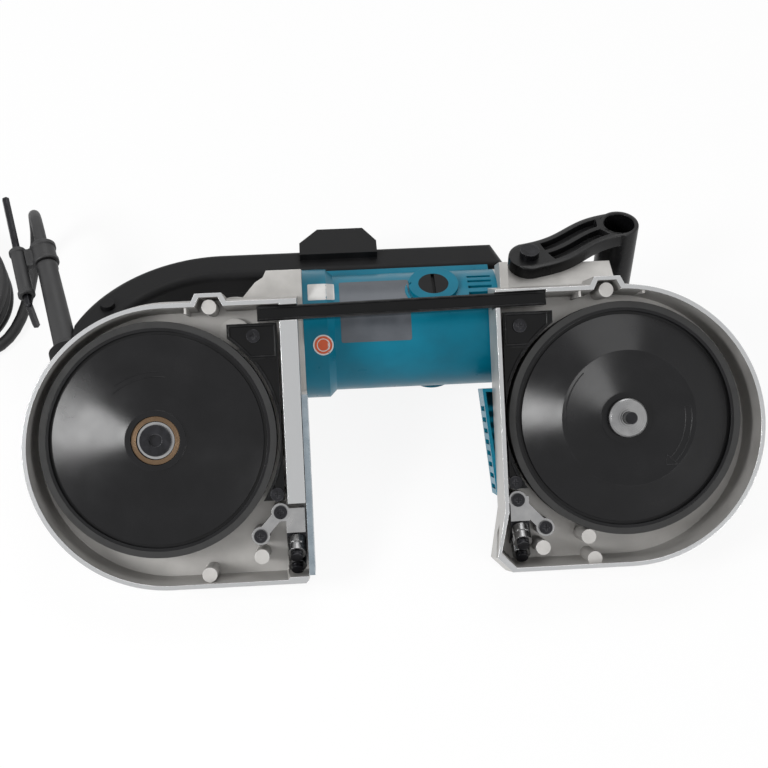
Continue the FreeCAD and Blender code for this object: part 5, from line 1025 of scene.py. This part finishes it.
    def clip_sleeve(self, body: BMesh, middle: Vector, size: Pair, bore: float) -> None:
        """Adds a sleeve with a raised band at each end to the key clip.

        Args:
            body: Mesh of the clip.
            middle: Middle of the sleeve.
            size: Radius over the bands and length.
            bore: Radius of the hole.
        """
        radius, length = size
        mouth, deep = self.sleeve_mouth
        half = [(bore + mouth, 0.0)] + moved(self.sleeve_edge, radius, 0.0)
        mirrored = [(r, length - h) for r, h in reversed(half)]
        inside = [(bore, length - deep), (bore, deep)]
        way = Vector(self.lead_way)
        place = middle - way * length / 2.0 * MM
        turn_profile(body, half + mirrored + inside, basis(place, UP, way), steps=40)

    def holder(self) -> Object:
        """Rubber clip: a sleeve on the cord, one for the hex key, and a web between them.

        Returns:
            The clip.
        """
        way = Vector(self.lead_way)
        aside = Vector((-way.y, way.x, 0.0))
        middle = Vector(self.outlet) + way * self.holder_place * MM - Vector((0.0, 0.0, self.sag * MM))
        key = middle + (aside * self.key_offset - way * self.key_drop) * MM
        body = bmesh.new()
        self.clip_sleeve(body, middle, self.sleeve, self.bore)
        self.clip_sleeve(body, key, self.key_sleeve, self.key_bore)
        near = self.sleeve[0] - self.web_sink[0]
        far = self.key_offset - self.key_sleeve[0] + self.web_sink[1]
        width = self.sleeve[1] - self.web_inset
        outline = rounded_rectangle(width, self.web, self.web_corner, steps=4, pitch=4.0)
        ends, waist = self.web_growth
        rows = []
        for reach, grow in ((near, ends), ((near + far) / 2.0, waist), (far, ends)):
            place = middle + aside * reach * MM
            rows.append([body.verts.new(place + (way * across + Vector((0.0, 0.0, up * grow))) * MM)
                         for across, up in outline])
        loft(body, rows)
        return self.wardrobe.add(new_object("hex_key_clip", body), Coat.CORD, "cord_rubber",
                                 replaced=("key_holder",))

    def plug(self) -> Object:
        """Moulded plug: ribbed neck, fluted grip and a flat face.

        Returns:
            The plug.
        """
        profile = list(self.plug_neck)
        for rib in range(self.rib_count):
            wide, start = (first + rib * step for first, step in zip(self.rib_first, self.rib_step))
            profile += moved(self.rib_edge, wide, start)
        profile += self.plug_grip
        body = bmesh.new()
        turn_profile(body, profile, Matrix.Identity(4), steps=72)
        first, last = self.flute_run
        for vertex in body.verts:
            height = vertex.co.z / MM
            if first < height < last:
                angle = math.atan2(vertex.co.y, vertex.co.x)
                fade = math.sin(math.pi * (height - first) / (last - first))
                dent = 1.0 - self.flute_depth * max(0.0, math.cos(self.flute_count * angle)) * fade
                vertex.co.x *= dent
                vertex.co.y *= dent
        matrix = basis(Vector(self.tail), UP, Vector((0.0, 1.0, 0.0)))
        bmesh.ops.transform(body, matrix=matrix, verts=body.verts)
        return self.wardrobe.add(new_object("moulded_plug", body), Coat.BLACK, "cord_rubber",
                                 replaced=("plug_body",))

    def tie_axes(self) -> tuple[Vector, Vector, Vector]:
        """Finds the plane of the tie.

        Returns:
            Middle of the coil, the way out of it at the tie, and the way along its turns there.
        """
        angle = math.radians(self.tie_angle)
        out = Vector((math.cos(angle), math.sin(angle), 0.0))
        return Vector((*self.coil_centre, 0.0)), out, Vector((-out.y, out.x, 0.0))

    def strands(self) -> list[Pair]:
        """Where the coil's turns cross the plane of the tie.

        Returns:
            Reach from the middle and height in millimetres for each turn.
        """
        line = self.curve("lead_line", 0.0)
        bpy.context.view_layer.update()
        mesh = bpy.data.meshes.new_from_object(line.evaluated_get(bpy.context.evaluated_depsgraph_get()))
        centre, out, across = self.tie_axes()
        places = [vertex.co - centre for vertex in mesh.vertices]
        found = []
        for first, second in zip(places, places[1:]):
            low, high = first.dot(across), second.dot(across)
            if low * high <= 0.0 and low != high and first.dot(out) > 0.0:
                meet = first.lerp(second, low / (low - high))
                found.append((meet.dot(out) / MM, meet.z / MM))
        bpy.data.meshes.remove(mesh)
        bpy.data.objects.remove(line)
        return found

    def tie(self) -> Object:
        """Woven strap drawn tight round the coil, with its end on the outer side.

        Returns:
            The strap.
        """
        strands = self.strands()
        centre, out, across = self.tie_axes()
        inner = self.diameter / 2.0 + self.tie_gap
        body = bmesh.new()
        rows = []
        for right, rise in arc_points(1.0, 0.0, 360.0, self.tie_steps)[:-1]:
            reach, height = max(strands, key=lambda strand: strand[0] * right + strand[1] * rise)
            doubled = right > 0.0 and self.lap_span[0] < rise < self.lap_span[1]
            outer = inner + self.tie_thickness + (self.lap if doubled else 0.0)
            row = []
            for radius, low, sides in ((inner, self.tie_lows[0], (-0.5, 0.5)),
                                       (outer, self.tie_lows[1], (0.5, -0.5))):
                up = max(height + radius * rise, low)
                place = out * (reach + radius * right) + Vector((0.0, 0.0, up))
                row += [body.verts.new(centre + (place + across * side * self.tie_width) * MM)
                        for side in sides]
            rows.append(row)
        skin_rows(body, rows, True)
        return self.wardrobe.add(new_object("coil_strap", body), Coat.STRAP, "cord_rubber")

    def build(self, nodes: dict[str, Object]) -> None:
        """Makes the lead with its pieces.

        Args:
            nodes: CAD nodes by name.
        """
        cord = self.wardrobe.add(self.curve("mains_cord", self.diameter / 2.0), Coat.CORD, "cord_rubber",
                                 replaced=("cord", "cord_coil"))
        self.guard()
        pieces = [self.holder(), self.plug(), self.tie(), nodes["plug_pins"]]


@dataclass
class Trim:
    """What every set of pieces on the saw itself is made from."""

    tool: ToolFrame
    wardrobe: Wardrobe
    nodes: dict[str, Object]


@dataclass
class FrontGrip(Trim):
    """Moulded front grip: a hollow bar between two arms that bend slightly, the near one with two pockets.

    Edges are offsets from a radius and a height in millimetres, runs are shares of an arm's length.
    """

    bar_radius: float = 14.7
    bar_foot: tuple[Pair, ...] = ((-1.2, 0.0), (0.0, 1.2))
    bar_top: tuple[Pair, ...] = ((0.0, -1.4), (-0.4, -0.4), (-1.2, 0.0))
    bore: float = 11.3
    bore_top: tuple[Pair, ...] = ((0.8, 0.0), (0.0, -0.8))
    bore_depth: float = 60.0
    seat_radius: float = 13.2
    seat_inset: float = 0.3
    end_radius: float = 15.0
    end_start: float = 8.0
    end_steps: int = 8
    near_thickness: float = 9.6
    far_thickness: float = 8.5
    bend: float = 2.6
    edge: float = 1.8
    edge_share: float = 0.3
    pocket_depth: float = 5.0
    pocket_sides: Pair = (1.7, 10.2)
    pocket_slope: float = 0.7
    pocket_run: Pair = (0.2, 0.95)
    pocket_steps: int = 24
    ramp: float = 0.02

    def axes(self) -> tuple[Vector, Vector]:
        """Ways up and out in the turned axes of the cut."""
        return self.tool.way(0.0, 1.0, -1.0), self.tool.way(0.0, 1.0, 1.0)

    def place(self, flat: Vector, level: float) -> Vector:
        """Place on the table of a point along the saw, up and out in the axes of the cut."""
        rise, out = self.axes()
        return (Vector((flat[0], 0.0, 0.0)) + rise * flat[1] + out * level) * MM

    def span(self, name: str, way: Vector) -> Pair:
        """Lowest and highest millimetre of a CAD node along a direction."""
        reach = [vertex.co.dot(way) / MM for vertex in self.nodes[name].data.vertices]
        return min(reach), max(reach)

    def section(self, half: float, thick: float, depth: float) -> list[Pair]:
        """Section of an arm: over its rounded side, and back over its flat side with a point below each one.

        Args:
            half: Half the width of the arm there.
            thick: Thickness of the arm.
            depth: Depth of the pockets there.

        Returns:
            Distances from the middle line, and heights.
        """
        scale = half / self.end_radius
        inner, outer = self.pocket_sides
        across = (inner, inner + self.pocket_slope, outer - self.pocket_slope, outer)
        drops = (0.0, depth, depth, 0.0)
        right = [(place * scale, thick - drop) for place, drop in zip(across, drops)]
        part = self.edge_share * self.edge
        right += [(half - self.edge * scale, thick), (half - part * scale, thick - part),
                  (half, thick - self.edge)]
        top = [(-place, height) for place, height in reversed(right)] + right
        return top + [(place, 0.0) for place, _ in reversed(top)]

    def stations(self) -> list[Triple]:
        """Lists the places along an arm.

        Returns:
            Distance behind the bolt, share of the way to the bar, and share of the pocket's depth.
        """
        found = [(behind, 0.0, 0.0)
                 for behind, _ in arc_points(self.end_radius, self.end_start, 90.0, self.end_steps)]
        first, last = self.pocket_run
        found += [(0.0, share, 0.0) for share in (first / 3.0, first * 2.0 / 3.0, first)]
        length = last - first - 2.0 * self.ramp
        found += [(0.0, first + self.ramp + length * step / self.pocket_steps, 1.0)
                  for step in range(self.pocket_steps + 1)]
        return found + [(0.0, last, 0.0), (0.0, (1.0 + last) / 2.0, 0.0), (0.0, 1.0, 0.0)]

    def arm(self, body: BMesh, ends: tuple[Vector, Vector], levels: Pair, depth: float) -> None:
        """Adds one arm, which ends inside the wall of the bar.

        Args:
            body: Mesh of the grip.
            ends: Places of the bolt and of the bar along the saw and across it.
            levels: Heights of the arm's flat side and of its rounded side.
            depth: Depth of its pockets.
        """
        start, end = ends
        length = (end - start).length
        along = (end - start).normalized()
        up = math.copysign(1.0, levels[1] - levels[0])
        rows = []
        for behind, share, hollow in self.stations():
            half = math.sqrt(self.end_radius ** 2 - behind ** 2)
            half += (self.bar_radius - self.seat_inset - self.end_radius) * share
            row = []
            for aside, height in self.section(half, abs(levels[1] - levels[0]), depth * hollow):
                seat = math.sqrt(max(self.seat_radius ** 2 - aside ** 2, 0.0))
                travel = share * (length - seat) - behind
                sway = -self.bend * math.sin(2.0 * math.pi * min(max(travel / length, 0.0), 1.0))
                flat = start + along * travel + Vector((-along.y, along.x)) * (aside + sway)
                row.append(body.verts.new(self.place(flat, levels[0] + up * height)))
            rows.append(row)
        skin_rows(body, rows, False)
        body.faces.new(rows[0])
        last = rows[-1]
        for index in range(len(last) // 2 - 1):
            body.faces.new((last[index], last[index + 1], last[-2 - index], last[-1 - index]))

    def build(self) -> None:
        """Makes the grip from the places of its CAD node and of the bolts."""
        rise, out = self.axes()
        bolt = Vector([sum(self.span("grip_bolts", way)) / 2.0 for way in (ALONG, rise)])
        bar = Vector([self.span("front_grip", way)[1] - self.bar_radius for way in (ALONG, rise)])
        low, high = self.span("front_grip", out)
        tall = high - low
        deep = tall - self.bore_depth
        body = bmesh.new()
        self.arm(body, (bolt, bar), (high - self.near_thickness, high), self.pocket_depth)
        self.arm(body, (bolt, bar), (low + self.far_thickness, low), 0.0)
        profile = [(0.0, 0.0)] + moved(self.bar_foot, self.bar_radius, 0.0)
        profile += moved(self.bar_top, self.bar_radius, tall) + moved(self.bore_top, self.bore, tall)
        profile += [(self.bore, deep), (0.0, deep)]
        turn_profile(body, profile, basis(self.place(bar, low), ALONG, out), steps=64)
        self.wardrobe.add(new_object("front_grip_moulding", body), Coat.GRIP, "black_nylon",
                          replaced=("front_grip",))


@dataclass
class WheelMarks(Trim):
    """Raised marks cast into the faces of the two wheels.

    An arc is its radius and its first and last angle, a line the radius and the angle of its two ends.
    """

    start_height: float = 60.0
    rib_width: float = 0.9
    rib_height: float = 0.3
    arc_steps: int = 28
    line_steps: int = 6
    drive_arcs: tuple[Triple, ...] = ((42.5, 80.0, 131.0), (46.0, 86.0, 126.0))
    idler_arcs: tuple[Triple, ...] = ((43.5, 133.0, 188.0), (39.0, 9.0, -46.0), (43.0, 9.0, -46.0))
    idler_lines: tuple[tuple[Pair, Pair], ...] = (
        ((39.0, 9.0), (43.0, 9.0)), ((36.5, -46.0), (45.5, -46.0)), ((36.5, -46.0), (41.0, -54.0)),
        ((45.5, -46.0), (41.0, -54.0)))

    def mark(self, name: str, middle: float, arcs: Sequence[Triple],
             lines: Sequence[tuple[Pair, Pair]] = ()) -> None:
        """Lays ribs on a wheel.

        Args:
            name: CAD node of the wheel.
            middle: Place of its axis along the saw.
            arcs: Arcs about the axis.
            lines: Straight ribs.
        """
        skin = Skin.of([self.nodes[name]])
        ribs = [arc_points(*arc, self.arc_steps) for arc in arcs]
        for ends in lines:
            first, last = (arc_points(radius, angle, angle, 1)[0] for radius, angle in ends)
            ribs.append([between(first, last, step / self.line_steps) for step in range(self.line_steps + 1)])
        paths = [skin.trace(self.tool, moved(rib, middle, 0.0), self.start_height) for rib in ribs]
        piece = bead(f"{name}_marks", paths, self.rib_width, self.rib_height)
        self.wardrobe.add(piece, Coat.WHEEL, "wheel_paint", f"{name}_body")

    def build(self) -> None:
        """Makes the marks of both wheels."""
        self.mark("drive_wheel", -HALF_SPAN, self.drive_arcs)
        self.mark("idler_wheel", HALF_SPAN, self.idler_arcs, self.idler_lines)


@dataclass
class GuardTrim(Trim):
    """Folded lips on the two wheel guards and on the blade cover.

    A guard's side is -1 at the drive wheel and 1 at the idler wheel. Then come the distance of its tab's
    inner line from the axis and the angle at which its plate becomes wide enough for a lip.
    """

    start_height: float = 30.0
    lip_radius: float = 84.0
    lip_width: float = 1.7
    lip_height: float = 1.1
    pitch: float = 2.0
    arc_steps: int = 10
    arc_ends: Pair = (36.0, -31.0)
    rear_guard: Triple = (-1, 82.0, 13.0)
    front_guard: Triple = (1, 80.0, 19.0)
    tab_tall: Pair = (53.1, 74.1)
    tab_outer: float = 51.2
    cover_ends: Pair = (-87.4, 106.4)
    cover_height: float = 83.0
    cover_half: float = 3.9
    cover_middle: float = 5.5
    cover_tilt: float = 0.8

    def lips(self, name: str, node: str, lines: Sequence[Sequence[Pair]]) -> None:
        """Lays lips on a sheet.

        Args:
            name: Name of the piece.
            node: CAD node of the sheet.
            lines: Corners of each lip in millimetres of the saw.
        """
        skin = Skin.of([self.nodes[node]])
        paths = []
        for corners in lines:
            flat = []
            for first, second in zip(corners, corners[1:]):
                parts = max(1, round(math.dist(first, second) / self.pitch))
                flat += [between(first, second, part / parts) for part in range(parts)]
            paths.append(skin.trace(self.tool, flat + [corners[-1]], self.start_height))
        self.wardrobe.add(bead(name, paths, self.lip_width, self.lip_height), Coat.PAINT, "black_paint")

    def around(self, side: float, first: float, last: float) -> list[Pair]:
        """Corners of an arc round a wheel.

        Args:
            side: Side of the guard.
            first: Angle in degrees from the way to the throat.
            last: Angle where the arc ends.

        Returns:
            Points in millimetres of the saw.
        """
        arc = arc_points(self.lip_radius, first, last, self.arc_steps)
        return [(side * (HALF_SPAN - inwards), up) for inwards, up in arc]

    def guard_lip(self, node: str, side: float, inner: float, free: float) -> None:
        """Makes the lips of one guard: round its tab and along the wheel.

        Args:
            node: CAD node of the guard.
            side: Its side.
            inner: Distance of the tab's inner line from the wheel's axis.
            free: Angle at which the plate becomes wide enough for a lip.
        """
        low, high = self.tab_tall
        start = math.degrees(math.acos(self.tab_outer / self.lip_radius))
        end = math.degrees(math.asin(low / self.lip_radius))
        edge, outer = (side * (HALF_SPAN - reach) for reach in (inner, self.tab_outer))
        loop = [(edge, low), (edge, high), (outer, high)] + self.around(side, start, end) + [(edge, low)]
        above, below = self.arc_ends
        arcs = [self.around(side, free, above), self.around(side, -free, below)]
        self.lips(f"{node}_lip", node, [loop] + arcs)

    def build(self) -> None:
        """Makes all the lips."""
        self.guard_lip("rear_guard", *self.rear_guard)
        self.guard_lip("front_guard", *self.front_guard)
        slope = math.tan(math.radians(self.cover_tilt))
        lines = [[(x, self.cover_height + aside + slope * (x - self.cover_middle)) for x in self.cover_ends]
                 for aside in (-self.cover_half, self.cover_half)]
        self.lips("blade_cover_lips", "blade_cover", lines)


@dataclass
class MotorTrim(Trim):
    """Bare films and a raised ridge on the motor housing.

    A sheet is its name, its finish, its width, height and corner radius, and its place. A disc is its name,
    its finish, its radius, the share of it that is a hole, and its height.
    """

    reach: float = 200.0
    sheet_height: float = 0.15
    sheets: tuple[tuple[str, Coat, Triple, Pair], ...] = (
        ("name_plate_blank", Coat.LABEL, (50.0, 44.0, 1.5), (-7.0, 83.0)),
        ("paper_label_blank", Coat.PAPER, (19.0, 12.0, 0.8), (-45.0, 98.0)))
    disc_place: Pair = (-45.0, 60.0)
    disc_sides: int = 48
    disc_rings: int = 6
    discs: tuple[tuple[str, Coat, float, float, float], ...] = (
        ("round_film_edge", Coat.PAPER, 7.2, 0.0, 0.12), ("round_film_ring", Coat.ORANGE, 6.2, 0.0, 0.2),
        ("round_film_line", Coat.PAPER, 4.6, 0.86, 0.26))
    ridge_place: Pair = (35.3, 96.5)
    ridge_radius: float = 19.0
    ridge_squash: float = 0.62
    ridge_angles: Pair = (150.0, 210.0)
    ridge_steps: int = 16
    ridge_width: float = 2.6
    ridge_height: float = 1.1

    def lay(self, skin: Skin, x: float, y: float) -> Lay:
        """How a film lies on the housing, seen from the wheel side.

        Args:
            skin: Surface of the housing.
            x: Middle of the film along the saw.
            y: Its middle across the saw.

        Returns:
            A function from a point of the film to its place and normal.
        """
        def on(across: float, up: float) -> Spot:
            """Place and normal of one point of the film."""
            return skin.trace(self.tool, [(x + across, y + up)], self.reach)[0]
        return on

    def build(self) -> None:
        """Makes the plate, the paper, the round film and the ridge beside the brush cap."""
        skin = Skin.of([self.nodes["motor_housing"]])
        for name, coat, size, place in self.sheets:
            sheet = film(name, rounded_rectangle(*size), self.lay(skin, *place), self.sheet_height)
            self.wardrobe.add(sheet, coat, "teal_nylon")
        for name, coat, outer, inner, height in self.discs:
            outline = arc_points(outer, 0.0, 360.0, self.disc_sides)[:-1]
            disc = film(name, outline, self.lay(skin, *self.disc_place), height, self.disc_rings, inner)
            self.wardrobe.add(disc, coat, "teal_nylon")
        arc = arc_points(self.ridge_radius, *self.ridge_angles, self.ridge_steps)
        flat = moved([(across, up * self.ridge_squash) for across, up in arc], *self.ridge_place)
        path = skin.trace(self.tool, flat, self.reach)
        ridge = bead("brush_ridge", [path], self.ridge_width, self.ridge_height)
        self.wardrobe.add(ridge, Coat.TEAL, "teal_nylon")


def main() -> None:
    """Builds the dressed saw."""
    logging.basicConfig(level=logging.INFO, format="%(message)s")
    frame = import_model()
    tool = ToolFrame().read(frame["joints"])
    studio = Studio(tool)
    studio.camera()
    wardrobe = Wardrobe(tool)
    for coat, names in NODE_COATS.items():
        for name in names:
            wardrobe.dress(frame["nodes"][name], coat)
        LOG.info("%s laid on %d nodes", coat.value, len(names))
    Lead(wardrobe).build(frame["nodes"])
    for trim in (FrontGrip, WheelMarks, GuardTrim, MotorTrim):
        trim(tool, wardrobe, frame["nodes"]).build()
    studio.floor()
    studio.light()


if __name__ == "__main__":
    main()
